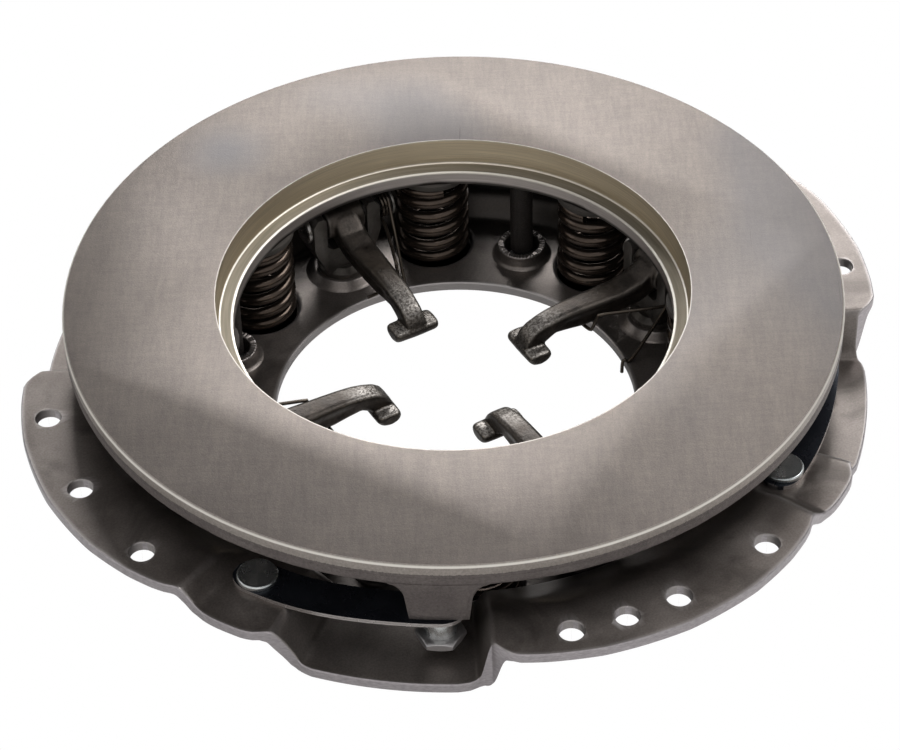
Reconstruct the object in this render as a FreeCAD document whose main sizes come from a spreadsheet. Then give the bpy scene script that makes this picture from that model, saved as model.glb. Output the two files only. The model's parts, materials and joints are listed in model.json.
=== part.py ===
import FreeCAD, Part
import math
import os
import re
import Sketcher
from FreeCAD import Placement, Rotation, Vector

# Origin on the axis at the mounting plane of the cover's pads, +Z towards the friction face.
# Lever stations stand at 0, 90, 180 and 270 degrees.

SIZES = {
    "station_count": 4,
    # Radii that carry the others
    "pivot_radius": 111,
    "bore_margin": 26.8,
    "cover_bore": "=pivot_radius - bore_margin",
    "floor_margin": 22,
    "floor_radius": "=pivot_radius + floor_margin",
    "bore_inset": 11,
    "plate_bore": "=pivot_radius - bore_inset",
    "rim_reach": 65,
    "plate_radius": "=pivot_radius + rim_reach",
    "strap_inset": 9.5,
    "strap_circle": "=plate_radius - strap_inset",
    "flange_reach": 12,
    "bolt_ring": "=plate_radius + flange_reach",
    # Cover sheet
    "sheet_gauge": 5,
    "floor_height": -37.1,
    "pad_wall_run": 12,
    "pad_wall_radius": "=floor_radius + pad_wall_run",
    "pad_wall_height": -14,
    "pad_step_run": 18,
    "pad_step_radius": "=pad_wall_radius + pad_step_run",
    "pad_step_height": -3,
    "pad_lip_run": 8,
    "pad_inner": "=pad_step_radius + pad_lip_run",
    "shoulder_wall_run": 10,
    "shoulder_wall_radius": "=floor_radius + shoulder_wall_run",
    "shoulder_wall_height": -16,
    "shoulder_lip_run": 7,
    "shoulder_inner": "=shoulder_wall_radius + shoulder_lip_run",
    "shoulder_height": -6.6,
    "recess_wall_run": 6.5,
    "recess_wall_radius": "=floor_radius + recess_wall_run",
    "recess_wall_height": -25.5,
    "recess_lip_run": 4,
    "recess_inner": "=recess_wall_radius + recess_lip_run",
    "recess_height": -23.5,
    # Cover outline
    "pad_edge_margin": 15,
    "pad_edge_middle": "=bolt_ring + pad_edge_margin",
    "pad_corner_margin": 8,
    "pad_edge_corner": "=bolt_ring + pad_corner_margin",
    "shoulder_edge_margin": 7,
    "shoulder_edge": "=bolt_ring + shoulder_edge_margin",
    "recess_edge_margin": 2,
    "recess_edge": "=bolt_ring + recess_edge_margin",
    "wall_notch_margin": -1,
    "wall_notch": "=bolt_ring + wall_notch_margin",
    "pad_notch_margin": 5,
    "pad_notch": "=bolt_ring + pad_notch_margin",
    "shoulder_notch_margin": 2.5,
    "shoulder_notch": "=bolt_ring + shoulder_notch_margin",
    "corner_angle": 3,
    "pad_ramp_angle": 2.5,
    "shoulder_angle": 10.8,
    "recess_ramp_angle": 3.2,
    "recess_angle": 23.8,
    "wall_angle": 1,
    # Flange holes
    "bolt_hole_radius": 5.5,
    "bolt_hole_angle": 15,
    "dowel_hole_radius": 5.2,
    "dowel_hole_angle": -7.5,
    # Coil spring stations
    "spring_side": 48.44,
    "spring_offset": 5.8,
    "spring_centre": "=pivot_radius + spring_offset",
    "spring_angle": "=asin(spring_side / spring_centre) / 1deg",
    "spring_outer": 18.2,
    "spring_wire": 5.8,
    "spring_sides": 6,
    "spring_steps": 9,
    "spring_pitch": 8.65,
    "cup_depth": 3,
    "cup_clearance": 1.3,
    "insulator_bore": 12.5,
    "insulator_gauge": 3,
    "spigot_radius": 11.5,
    "spigot_length": 8,
    "seat_gap": 0.3,
    # Lever pivots
    "pivot_height": -4.2,
    "arm_length": 19,
    "arm_rise": 2.5,
    "pin_fit": 0.05,
    "open_fit": 0.25,
    "side_gap": 0.3,
    # Release lever
    "toe_radius": 40,
    "toe_height": -25.5,
    "toe_bar_half": 11.5,
    "arm_half": 7.2,
    "nose_half": 5,
    "toe_bar_rise": 6.4,
    "arm_top_height": -6.5,
    "arm_depth": 11.2,
    "hub_radius": 8.2,
    "hub_half": 10,
    "eye_half": 7,
    "eye_radius": 8.5,
    # Fork and its nut
    "leg_inner": 11,
    "leg_gauge": 7,
    "leg_outer": "=leg_inner + leg_gauge",
    "leg_depth": 15,
    "leg_rise": 8.2,
    "fork_base_radius": 12.5,
    "fork_shank_radius": 7,
    "fork_shank_tail": 15.5,
    "dimple_rise": 3.6,
    "dimple_outer": 17.5,
    "dimple_inner": 13.5,
    "dimple_bore": 8.5,
    "seat_outer": 14.5,
    "seat_inner": 10,
    "nut_flats_half": 12,
    "nut_depth": 10,
    # Pins and clips
    "fork_pin_radius": 5,
    "plate_pin_radius": 4.5,
    "pin_head_rim": 1.9,
    "pin_head_gauge": 2.4,
    "clip_rim": 2.6,
    "clip_gauge": 1.2,
    "pin_chamfer": 0.7,
    # Lever torsion spring
    "twist_wire": 1.7,
    "twist_radius": 6.65,
    "twist_pitch": 1.78,
    "twist_turns": 2.64,
    "twist_sides": 5,
    "twist_steps": 8,
    "hook_reach": 43,
    # Pressure plate
    "face_height": 32.9,
    "face_chamfer": 1.2,
    "step_width": 6.5,
    "step_radius": "=plate_bore + step_width",
    "wall_draft": 0.8,
    "face_inner": "=step_radius + wall_draft",
    "step_height": 20,
    "ledge_draft": 0.2,
    "ledge_radius": "=plate_bore + ledge_draft",
    "ledge_height": 18.4,
    "web_height": 12,
    "rim_width": 24,
    "rim_inner": "=plate_radius - rim_width",
    "web_slope": 10,
    "web_outer": "=rim_inner - web_slope",
    "rim_inner_height": 17.5,
    "rim_depth": 11.3,
    "ear_gauge": 8,
    "ear_reach": 8.8,
    # Lugs, straps and their fasteners
    "lug_angle": 58,
    "lug_half": 15.4,
    "lug_root": 3.5,
    "lug_depth": 27,
    "lug_inner": "=plate_radius - lug_depth",
    "lug_foot": -2,
    "lug_lean": 3,
    "lug_corner": 5,
    "lug_draft": 6,
    "rivet_angle": 30,
    "strap_half": 9,
    "strap_end_reach": 12,
    "leaf_gauge": 0.95,
    "leaf_gap": 0.1,
    "strap_flat": 14,
    "rivet_shank": 4,
    "rivet_head": 9,
    "rivet_head_gauge": 2.5,
    "rivet_dome": 0.6,
    "strap_bolt_radius": 5,
    "strap_bolt_grip": 15,
    "strap_bolt_flats_half": 9.5,
    "strap_bolt_head": 3.8,
    "sleeve_radius": 7,
    "sleeve_length": 10.4,
    "thread_fit": 0.02,
    # Hold-down posts
    "post_angle": 43,
    "post_radius": 5.5,
    "post_foot": -33,
    "collar_bore": 8.3,
    "collar_outer": 12.3,
    "collar_top_outer": 11.8,
    "collar_rise": 6.6,
    "collar_mouth": 10.4,
    "hold_bolt_radius": 3.5,
    "hold_bolt_grip": 12,
    "hold_washer_rim": 2.2,
    "hold_washer_radius": "=collar_mouth + hold_washer_rim",
    "hold_washer_gauge": 2.5,
    "hold_flats_half": 6.5,
    "hold_head": 5,
    # Angles where the cover changes level
    "strap_end_angle": "=asin((strap_end_reach + side_gap) / strap_circle) / 1deg",
    "shoulder_start_angle": "=rivet_angle - strap_end_angle",
    "pad_end_angle": "=shoulder_start_angle - pad_ramp_angle",
    "shoulder_end_angle": "=shoulder_start_angle + shoulder_angle",
    "recess_start_angle": "=shoulder_end_angle + recess_ramp_angle",
    "recess_end_angle": "=recess_start_angle + recess_angle",
    "pad_start_angle": "=recess_end_angle + wall_angle",
}

doc = FreeCAD.newDocument("clutch_pressure_plate")
dims = doc.addObject("Spreadsheet::Sheet", "dims")
for row, (alias, number) in enumerate(SIZES.items(), start=1):
    dims.set(f"A{row}", str(number))
    dims.setAlias(f"A{row}", alias)
doc.recompute()


def bound(text):
    return re.sub(r"\b([a-z]+(?:_[a-z]+)+)\b", r"dims.\1", str(text))


def size(text):
    value = dims.evalExpression(bound(text))
    return float(getattr(value, "Value", value))


def origin_part(body, role):
    return next(item for item in body.Origin.OriginFeatures if item.Role == role)


def new_body(name, turn="0"):
    body = doc.addObject("PartDesign::Body", name)
    body.Label = name
    body.AllowCompound = True
    body.Placement = Placement(Vector(), Rotation(Vector(0, 0, 1), 1))
    body.setExpression(".Placement.Rotation.Angle", bound(turn))
    return body


def new_sketch(body, name, role, shift=("0", "0", "0"), turn=None):
    sketch = body.newObject("Sketcher::SketchObject", f"{body.Name}_{name}")
    sketch.AttachmentSupport = (origin_part(body, role), [""])
    sketch.MapMode = "FlatFace"
    sketch.AttachmentOffset = Placement(Vector(), Rotation(Vector(0, 0, 1), 0))
    if turn is not None:
        sketch.AttachmentOffset = Placement(Vector(), Rotation(Vector(0, 0, 1), 1))
        sketch.setExpression(".AttachmentOffset.Rotation.Angle", bound(turn))
    for axis, text in zip("xyz", shift):
        if text != "0":
            sketch.setExpression(f".AttachmentOffset.Base.{axis}", bound(text))
    return sketch


def fix_point(sketch, geometry, vertex, x, y):
    for kind, text in (("DistanceX", x), ("DistanceY", y)):
        rule = Sketcher.Constraint(kind, -1, 1, geometry, vertex, size(text))
        index = sketch.addConstraint(rule)
        sketch.setExpression(f"Constraints[{index}]", bound(text))


def add_polygon(sketch, corners):
    points = [Vector(size(x), size(y), 0) for x, y in corners]
    first = sketch.GeometryCount
    count = len(points)
    for k in range(count):
        sketch.addGeometry(Part.LineSegment(points[k], points[(k + 1) % count]))
    for k in range(count):
        following = first + (k + 1) % count
        sketch.addConstraint(Sketcher.Constraint("Coincident", first + k, 2, following, 1))
    for k, (x, y) in enumerate(corners):
        fix_point(sketch, first + k, 1, x, y)


def add_circle(sketch, x, y, radius):
    centre = Vector(size(x), size(y), 0)
    index = sketch.addGeometry(Part.Circle(centre, Vector(0, 0, 1), size(radius)))
    fix_point(sketch, index, 3, x, y)
    rule = sketch.addConstraint(Sketcher.Constraint("Radius", index, size(radius)))
    sketch.setExpression(f"Constraints[{rule}]", bound(radius))


def add_hexagon(sketch, flats_half):
    corners = []
    for k in range(6):
        turn = f"{flats_half} / cos(30)"
        corners.append((f"{turn} * cos({60 * k})", f"{turn} * sin({60 * k})"))
    add_polygon(sketch, corners)


def add_feature(body, kind, sketch, length, both_ways=False, backwards=False):
    feature = body.newObject(f"PartDesign::{kind}", f"{sketch.Name}_{kind.lower()}")
    feature.Profile = sketch
    feature.Midplane = both_ways
    feature.Reversed = backwards
    feature.setExpression("Length", bound(length))
    sketch.Visibility = False
    return feature


def pad(body, sketch, length, both_ways=False, backwards=False):
    return add_feature(body, "Pad", sketch, length, both_ways, backwards)


def pocket(body, sketch, length, both_ways=False, backwards=False):
    return add_feature(body, "Pocket", sketch, length, both_ways, backwards)


def revolve(body, sketch, kind="Revolution"):
    feature = body.newObject(f"PartDesign::{kind}", f"{sketch.Name}_{kind.lower()}")
    feature.Profile = sketch
    feature.ReferenceAxis = (sketch, ["V_Axis"])
    feature.Angle = 360
    return feature


def repeat_round(body, features):
    pattern = body.newObject("PartDesign::PolarPattern", f"{features[0].Name}_round")
    pattern.Originals = features
    pattern.Axis = (origin_part(body, "Z_Axis"), [""])
    pattern.Angle = 360
    pattern.setExpression("Occurrences", bound("station_count"))
    body.Tip = pattern
    return pattern


nodes = []
stations = range(int(size("station_count")))
pitch_angle = 360 / len(stations)


def station_turn(k):
    return f"{k} * 360 / station_count"


def solid_feature(name, shape, turn=0):
    feature = doc.addObject("Part::Feature", name)
    feature.Label = name
    feature.Shape = shape
    feature.Placement = Placement(Vector(), Rotation(Vector(0, 0, 1), turn))
    nodes.append(feature)


# Cover: the body under the top surface less the body under the bottom surface

def section(kind):
    points = [
        ("cover_bore", "floor_height"),
        ("floor_radius", "floor_height"),
        (f"{kind}_wall_radius", f"{kind}_wall_height"),
        (f"{kind}_inner", f"{kind}_height"),
    ]
    if kind == "pad":
        points[3] = ("pad_step_radius", "pad_step_height")
        points.append(("pad_inner", "0"))
        points.append(("pad_edge_middle + sheet_gauge", "0"))
    else:
        points.append((f"{kind}_inner + 2 * sheet_gauge", f"{kind}_height"))
        points.append(("pad_edge_middle + sheet_gauge", f"{kind}_height"))
    return [(size(radius), size(height)) for radius, height in points]


def lowered(points, gauge):
    lines = []
    for (r0, z0), (r1, z1) in zip(points, points[1:]):
        length = math.hypot(r1 - r0, z1 - z0)
        run = (r1 - r0) / length
        rise = (z1 - z0) / length
        lines.append((r0 + gauge * rise, z0 - gauge * run, run, rise))
    moved = [(lines[0][0], lines[0][1])]
    for (ra, za, run_a, rise_a), (rb, zb, run_b, rise_b) in zip(lines, lines[1:]):
        cross = run_a * rise_b - rise_a * run_b
        if abs(cross) < 1e-9:
            moved.append((rb, zb))
            continue
        along = ((rb - ra) * rise_b - (zb - za) * run_b) / cross
        moved.append((ra + along * run_a, za + along * rise_a))
    moved.append((points[-1][0], points[-1][1] - gauge))
    return moved


def station_ramps(gauge):
    names = ["pad", "pad", "shoulder", "shoulder", "recess", "recess", "pad"]
    angles = [
        size("pad_start_angle") - pitch_angle,
        size("pad_end_angle"),
        size("shoulder_start_angle"),
        size("shoulder_end_angle"),
        size("recess_start_angle"),
        size("recess_end_angle"),
        size("pad_start_angle"),
    ]
    heights = {"pad": 0.0, "shoulder": size("shoulder_height"), "recess": size("recess_height")}
    radius = size("strap_circle")
    shifted = list(angles)
    for k in range(1, 6, 2):
        drop = heights[names[k]] - heights[names[k + 1]]
        run = radius * math.radians(angles[k + 1] - angles[k])
        shift = math.degrees(gauge * math.tan(math.atan2(abs(drop), run) / 2) / radius)
        shift = -shift if drop > 0 else shift
        shifted[k] += shift
        shifted[k + 1] += shift
    shifted[0] = shifted[-1] - pitch_angle
    return names, shifted


def surface_body(gauge):
    floor = size("floor_height - 4 * sheet_gauge") - gauge
    profiles = {}
    for kind in ("pad", "shoulder", "recess"):
        points = section(kind)
        if gauge:
            points = lowered(points, gauge)
            points[0] = (points[0][0] - gauge, points[0][1])
            points[-1] = (points[-1][0] + gauge, points[-1][1])
        profiles[kind] = [(points[0][0], floor)] + points + [(points[-1][0], floor)]

    def outline(kind, angle):
        turn = math.radians(angle)
        corners = [Vector(r * math.cos(turn), r * math.sin(turn), z) for r, z in profiles[kind]]
        return Part.makePolygon(corners + corners[:1])

    names, angles = station_ramps(gauge)
    pieces = []
    for k in range(len(names) - 1):
        if names[k] == names[k + 1]:
            face = Part.Face(outline(names[k], angles[k]))
            piece = face.revolve(Vector(), Vector(0, 0, 1), angles[k + 1] - angles[k])
        else:
            ends = [outline(names[k], angles[k]), outline(names[k + 1], angles[k + 1])]
            piece = Part.makeLoft(ends, True, True)
        pieces.append(piece)
    ring = []
    for k in stations:
        for piece in pieces:
            copy = piece.copy()
            copy.rotate(Vector(), Vector(0, 0, 1), k * pitch_angle)
            ring.append(copy)
    return ring[0].multiFuse(ring[1:]).removeSplitter()


def polar(radius, angle, height=0.0):
    turn = math.radians(angle)
    return Vector(radius * math.cos(turn), radius * math.sin(turn), height)


def sheared_outline():
    bottom = size("floor_height - 6 * sheet_gauge")
    first_pad = "pad_start_angle - 360 / station_count"
    runs = [
        ("wall_notch", first_pad, "corner_angle", "pad_edge_corner", "pad_end_angle", "pad_notch"),
        (
            "pad_notch",
            "shoulder_start_angle",
            "corner_angle",
            "shoulder_edge",
            "shoulder_end_angle",
            "shoulder_notch",
        ),
        (
            "wall_notch",
            "recess_start_angle",
            "0.5 * corner_angle",
            "recess_edge",
            "recess_end_angle",
            "wall_notch",
        ),
    ]
    edges = []
    corner = None
    for k in stations:
        base = k * pitch_angle
        for near, start, turn_in, edge, end, far in runs:
            middle = "pad_edge_middle" if edge == "pad_edge_corner" else edge
            before = polar(size(near), base + size(start), bottom)
            first = polar(size(edge), base + size(f"{start} + {turn_in}"), bottom)
            crown = polar(size(middle), base + (size(start) + size(end)) / 2, bottom)
            last = polar(size(edge), base + size(f"{end} - {turn_in}"), bottom)
            after = polar(size(far), base + size(end), bottom)
            if corner is not None:
                edges.append(Part.makeLine(corner, before))
            edges.append(Part.makeLine(before, first))
            edges.append(Part.Arc(first, crown, last).toShape())
            edges.append(Part.makeLine(last, after))
            corner = after
    edges.append(Part.makeLine(corner, edges[0].Vertexes[0].Point))
    face = Part.Face(Part.Wire(edges))
    return face.extrude(Vector(0, 0, size("sheet_gauge") - bottom))


def cone(radius_low, low, radius_high, high, centre, angle):
    spot = polar(size(centre), angle, size(low))
    rise = size(high) - size(low)
    if abs(size(radius_low) - size(radius_high)) < 1e-6:
        return Part.makeCylinder(size(radius_low), rise, spot)
    return Part.makeCone(size(radius_low), size(radius_high), rise, spot)


def at_stations(angles, *shape):
    found = []
    for k in stations:
        for angle in angles:
            found.append(cone(*shape, angle + k * pitch_angle))
    return found


floor_back = "floor_height - sheet_gauge"
cup_radius = "spring_outer + cup_clearance"
spring_spots = [-size("spring_angle"), size("spring_angle")]
post_spot = [size("post_angle")]
bolt_spots = [-size("bolt_hole_angle"), 0, size("bolt_hole_angle")]
below = "floor_height - 3 * sheet_gauge"

cup_bodies = at_stations(
    spring_spots,
    f"{cup_radius} + 0.7 * sheet_gauge",
    f"{floor_back} - cup_depth",
    f"{cup_radius} + 1.2 * sheet_gauge",
    "pad_wall_height",
    "spring_centre",
)
added = at_stations(
    [0],
    "dimple_outer",
    "floor_height",
    "dimple_inner",
    "floor_height + dimple_rise",
    "pivot_radius",
)
added += at_stations(
    post_spot,
    "collar_outer",
    "floor_height",
    "collar_top_outer",
    "floor_height + collar_rise",
    "pivot_radius",
)
removed = at_stations(
    spring_spots,
    cup_radius,
    "floor_height - cup_depth",
    cup_radius,
    "pad_wall_height",
    "spring_centre",
)
removed += at_stations(
    [0],
    "dimple_bore",
    below,
    "dimple_bore",
    "floor_height + 2 * dimple_rise",
    "pivot_radius",
)
removed += at_stations(
    [0],
    "seat_outer",
    floor_back,
    "seat_inner",
    f"{floor_back} + dimple_rise",
    "pivot_radius",
)
removed += at_stations(
    post_spot,
    "collar_bore",
    below,
    "collar_bore",
    "floor_height + 2 * collar_rise",
    "pivot_radius",
)
removed += at_stations(
    post_spot,
    "collar_mouth",
    floor_back,
    "collar_bore",
    f"{floor_back} + 0.6 * sheet_gauge",
    "pivot_radius",
)
removed += at_stations(
    bolt_spots,
    "bolt_hole_radius",
    "-2 * sheet_gauge",
    "bolt_hole_radius",
    "sheet_gauge",
    "bolt_ring",
)
removed += at_stations(
    [size("rivet_angle")],
    "rivet_shank + thread_fit",
    "shoulder_height - 2 * sheet_gauge",
    "rivet_shank + thread_fit",
    "sheet_gauge",
    "strap_circle",
)
for turn in (1, 3):
    dowel_turn = size("dowel_hole_angle") + turn * pitch_angle
    removed.append(
        cone(
            "dowel_hole_radius",
            "-2 * sheet_gauge",
            "dowel_hole_radius",
            "sheet_gauge",
            "bolt_ring",
            dowel_turn,
        )
    )

under = surface_body(size("sheet_gauge")).cut(cup_bodies)
cover_shape = surface_body(0).cut(under).common(sheared_outline())
cover_shape = cover_shape.multiFuse(added).cut(removed).removeSplitter()
solid_feature("cover", cover_shape)


# Wires: flat facets between polygon sections carried along a path without twist

def wire_solid(points, radius, sides):
    side = Vector(0.1, 0.2, 1)
    rings = []
    for k, point in enumerate(points):
        before = points[max(k - 1, 0)]
        after = points[min(k + 1, len(points) - 1)]
        along = (after - before).normalize()
        side = (side - along * side.dot(along)).normalize()
        across = along.cross(side)
        ring = []
        for corner in range(sides):
            turn = 2 * math.pi * (corner + 0.5) / sides
            ring.append(point + (side * math.cos(turn) + across * math.sin(turn)) * radius)
        rings.append(ring)
    outlines = [rings[0][::-1], rings[-1]]
    for near, far in zip(rings, rings[1:]):
        for k in range(sides):
            following = (k + 1) % sides
            outlines.append([near[k], near[following], far[following]])
            outlines.append([near[k], far[following], far[k]])
    faces = [Part.Face(Part.makePolygon(corners + corners[:1])) for corners in outlines]
    shell = Part.Shell(faces)
    shell.sewShape()
    return Part.Solid(shell)


# Coil springs between the cover's cups and the insulators

def coil_spring():
    wire = size("spring_wire")
    mean = size("spring_outer") - wire / 2
    low = size("floor_height - cup_depth + seat_gap") + wire / 2
    high = size("web_height - insulator_gauge - seat_gap") - wire / 2
    closed = 1.04 * wire
    free_turns = (high - low - 2 * closed) / size("spring_pitch")
    turns = free_turns + 2
    steps = int(round(turns * size("spring_steps")))
    points = []
    for k in range(steps + 1):
        turn = turns * k / steps
        climb = closed * min(turn, 1)
        climb += size("spring_pitch") * min(max(turn - 1, 0), free_turns)
        climb += closed * max(turn - 1 - free_turns, 0)
        angle = 2 * math.pi * turn
        x = size("spring_centre") + mean * math.cos(angle)
        points.append(Vector(x, mean * math.sin(angle), low + climb))
    return wire_solid(points, wire / 2, int(size("spring_sides")))


coil_shape = coil_spring()
for k in range(2 * len(stations)):
    coil_turn = (k // 2) * pitch_angle + spring_spots[k % 2]
    solid_feature(f"coil_spring_{k + 1}", coil_shape, coil_turn)


# Lever torsion springs: two legs and a coil round the fork pin's tail

def twist_spring():
    radius = size("twist_radius")
    wire = size("twist_wire")
    start_side = -size("leg_outer + 1.3 * side_gap") - wire / 2
    pivot = size("pivot_radius")
    level = size("pivot_height")
    under_arm = size("arm_top_height - arm_depth") - wire / 2 - size("seat_gap") - 0.4
    hook = pivot - size("hook_reach")
    beside = -size("arm_half + seat_gap") - wire / 2 - 0.6
    points = [
        Vector(hook - 0.5, -beside + 0.8, under_arm - 0.6),
        Vector(hook, 0, under_arm - 0.3),
        Vector(hook + 0.8, beside + 1.2, under_arm),
        Vector(hook + 1.6, beside - 0.2, under_arm + 1.6),
        Vector(hook + 4, beside - 1, level - radius - 0.6),
        Vector(hook + 7, beside - 2, level - radius + 0.4),
        Vector(pivot - 9.5, start_side, level - radius),
    ]
    first = -90
    last = first + 360 * size("twist_turns")
    steps = int(round((last - first) / 360 * size("twist_steps")))
    for k in range(steps + 1):
        turn = first + (last - first) * k / steps
        side = start_side - size("twist_pitch") * (turn - first) / 360
        angle = math.radians(turn)
        x = pivot + radius * math.cos(angle)
        points.append(Vector(x, side, level + radius * math.sin(angle)))
    rest = size("floor_height") + wire / 2 + size("seat_gap")
    edge_side = start_side + 0.3
    edge = math.sqrt(size("cover_bore") ** 2 - edge_side ** 2)
    points.append(Vector(edge + 3.2, edge_side - 1.2, rest + 1.6))
    points.append(Vector(edge - 0.6, edge_side, rest + 0.7))
    points.append(Vector(edge - 1.9, edge_side, rest - 0.7))
    points.append(Vector(edge - 2.2, edge_side, rest - 6.5))
    return wire_solid(points, wire / 2, int(size("twist_sides")))


twist_shape = twist_spring()
for k in stations:
    solid_feature(f"lever_spring_{k + 1}", twist_shape, k * pitch_angle)


# Release levers

eye_radial = "pivot_radius + arm_length"
eye_height = "pivot_height + arm_rise"
pivot_shift = ("pivot_radius", "0", "pivot_height")
eye_shift = (eye_radial, "0", eye_height)

arm_bottom = "arm_top_height - arm_depth"
arm_side = [
    ("toe_radius - 4.7", "toe_height + 10.2"),
    ("toe_radius - 2", "toe_height + 12.5"),
    ("toe_radius + 1.3", "arm_top_height - 4"),
    ("toe_radius + 6.5", "arm_top_height - 2.2"),
    ("toe_radius + 11.7", "arm_top_height - 1.1"),
    ("toe_radius + 22", "arm_top_height"),
    ("pivot_radius - 25", "arm_top_height"),
    ("pivot_radius - 14", "arm_top_height + 2.4"),
    ("pivot_radius - 7", "pivot_height + hub_radius * 0.9"),
    (f"{eye_radial} - 4", f"{eye_height} + eye_radius * 0.85"),
    (f"{eye_radial} + 4", f"{eye_height} + eye_radius * 0.85"),
    (f"{eye_radial} + eye_radius * 0.9", f"{eye_height} + 3.4"),
    (f"{eye_radial} + eye_radius * 0.9", f"{eye_height} - 3.4"),
    (f"{eye_radial} + 4", f"{eye_height} - eye_radius * 0.85"),
    (f"{eye_radial} - 4", f"{eye_height} - eye_radius * 0.85"),
    ("pivot_radius + 6", "pivot_height - hub_radius * 0.8"),
    ("pivot_radius - 6", "pivot_height - hub_radius * 0.9"),
    ("pivot_radius - 20", f"{arm_bottom} + 0.3"),
    ("pivot_radius - 46.3", f"{arm_bottom} - 0.2"),
    ("toe_radius + 18.3", f"{arm_bottom} + 1"),
    ("toe_radius + 11.3", f"{arm_bottom} + 1.9"),
    ("toe_radius + 5", f"{arm_bottom} - 4"),
    ("toe_radius - 4.5", f"{arm_bottom} - 4.5"),
]
toe_side = [
    ("toe_radius - 5.2", "toe_height + toe_bar_rise"),
    ("toe_radius - 6.3", "toe_height + 4"),
    ("toe_radius - 4.5", "toe_height + 1.2"),
    ("toe_radius", "toe_height"),
    ("toe_radius + 4.2", "toe_height + 1"),
    ("toe_radius + 6.8", "toe_height + 3.4"),
    ("toe_radius + 5.4", "toe_height + toe_bar_rise"),
]

for k in stations:
    lever = new_body(f"release_lever_{k + 1}", station_turn(k))
    sketch = new_sketch(lever, "side", "XZ_Plane")
    add_polygon(sketch, arm_side)
    pad(lever, sketch, "2 * arm_half", both_ways=True)
    sketch = new_sketch(lever, "taper", "XY_Plane")
    for sign in ("", "-"):
        flank = [
            ("toe_radius - 8", f"{sign}nose_half"),
            ("toe_radius + 12", f"{sign}nose_half"),
            ("pivot_radius - 20", f"{sign}arm_half"),
            ("pivot_radius - 20", f"{sign}(arm_half + 2)"),
            ("toe_radius - 8", f"{sign}(arm_half + 2)"),
        ]
        add_polygon(sketch, flank)
    pocket(lever, sketch, "80", both_ways=True)
    sketch = new_sketch(lever, "toe", "XZ_Plane")
    add_polygon(sketch, toe_side)
    pad(lever, sketch, "2 * toe_bar_half", both_ways=True)
    sketch = new_sketch(lever, "hub", "XZ_Plane")
    add_circle(sketch, "pivot_radius", "pivot_height", "hub_radius")
    pad(lever, sketch, "2 * hub_half", both_ways=True)
    sketch = new_sketch(lever, "eye", "XZ_Plane")
    add_circle(sketch, eye_radial, eye_height, "eye_radius")
    pad(lever, sketch, "2 * eye_half", both_ways=True)
    sketch = new_sketch(lever, "holes", "XZ_Plane")
    add_circle(sketch, "pivot_radius", "pivot_height", "fork_pin_radius + pin_fit")
    add_circle(sketch, eye_radial, eye_height, "plate_pin_radius + open_fit")
    pocket(lever, sketch, "4 * hub_half", both_ways=True)
    nodes.append(lever)


# Forks, their nuts and pins

leg_top = "pivot_height + leg_rise"
yoke = "pivot_height - hub_radius"
dimple_top = "floor_height + dimple_rise"
fork_side = [
    ("leg_outer", f"{yoke} - 1.3"),
    ("leg_outer", f"{leg_top} - 3.5"),
    ("leg_outer - 2.5", leg_top),
    ("leg_inner + 1.5", leg_top),
    ("leg_inner", f"{leg_top} - 1.5"),
    ("leg_inner", f"{yoke} - 1.3"),
    ("leg_inner - 3", f"{yoke} - 3.8"),
    ("-leg_inner + 3", f"{yoke} - 3.8"),
    ("-leg_inner", f"{yoke} - 1.3"),
    ("-leg_inner", f"{leg_top} - 1.5"),
    ("-leg_inner - 1.5", leg_top),
    ("-leg_outer + 2.5", leg_top),
    ("-leg_outer", f"{leg_top} - 3.5"),
    ("-leg_outer", f"{yoke} - 1.3"),
    ("-leg_outer + 1.6", f"{yoke} - 6.4"),
    ("-fork_base_radius", f"{dimple_top} + 6"),
    ("-fork_base_radius + 1.5", f"{dimple_top} + 3"),
    ("fork_base_radius - 1.5", f"{dimple_top} + 3"),
    ("fork_base_radius", f"{dimple_top} + 6"),
    ("leg_outer - 1.6", f"{yoke} - 6.4"),
]
shank_end = f"{floor_back} - fork_shank_tail"
fork_turned = [
    ("0", f"{dimple_top} + 5"),
    ("fork_base_radius - 2.5", f"{dimple_top} + 5"),
    ("fork_base_radius", f"{dimple_top} + 2.5"),
    ("fork_base_radius", dimple_top),
    ("fork_shank_radius", dimple_top),
    ("fork_shank_radius", f"{shank_end} + pin_chamfer"),
    ("fork_shank_radius - pin_chamfer", shank_end),
    ("0", shank_end),
]
nut_foot = f"{floor_back} - seat_gap"
nut_bore = "fork_shank_radius + pin_fit"
nut_turned = [
    (nut_bore, f"{nut_foot} + dimple_rise"),
    ("seat_inner", f"{nut_foot} + dimple_rise"),
    ("seat_outer", nut_foot),
    ("seat_outer", f"{nut_foot} - 1.5"),
    (nut_bore, f"{nut_foot} - 1.5"),
]


def headed_pin(body, shift, radius, tail, shoulder):
    sketch = new_sketch(body, "turned", "XY_Plane", shift)
    corners = [
        ("0", f"-({tail})"),
        (f"{radius} - pin_chamfer", f"-({tail})"),
        (radius, f"-({tail}) + pin_chamfer"),
        (radius, shoulder),
        (f"{radius} + pin_head_rim", shoulder),
        (f"{radius} + pin_head_rim", f"{shoulder} + pin_head_gauge - pin_chamfer"),
        (f"{radius} + pin_head_rim - pin_chamfer", f"{shoulder} + pin_head_gauge"),
        ("0", f"{shoulder} + pin_head_gauge"),
    ]
    add_polygon(sketch, corners)
    revolve(body, sketch)


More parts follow.
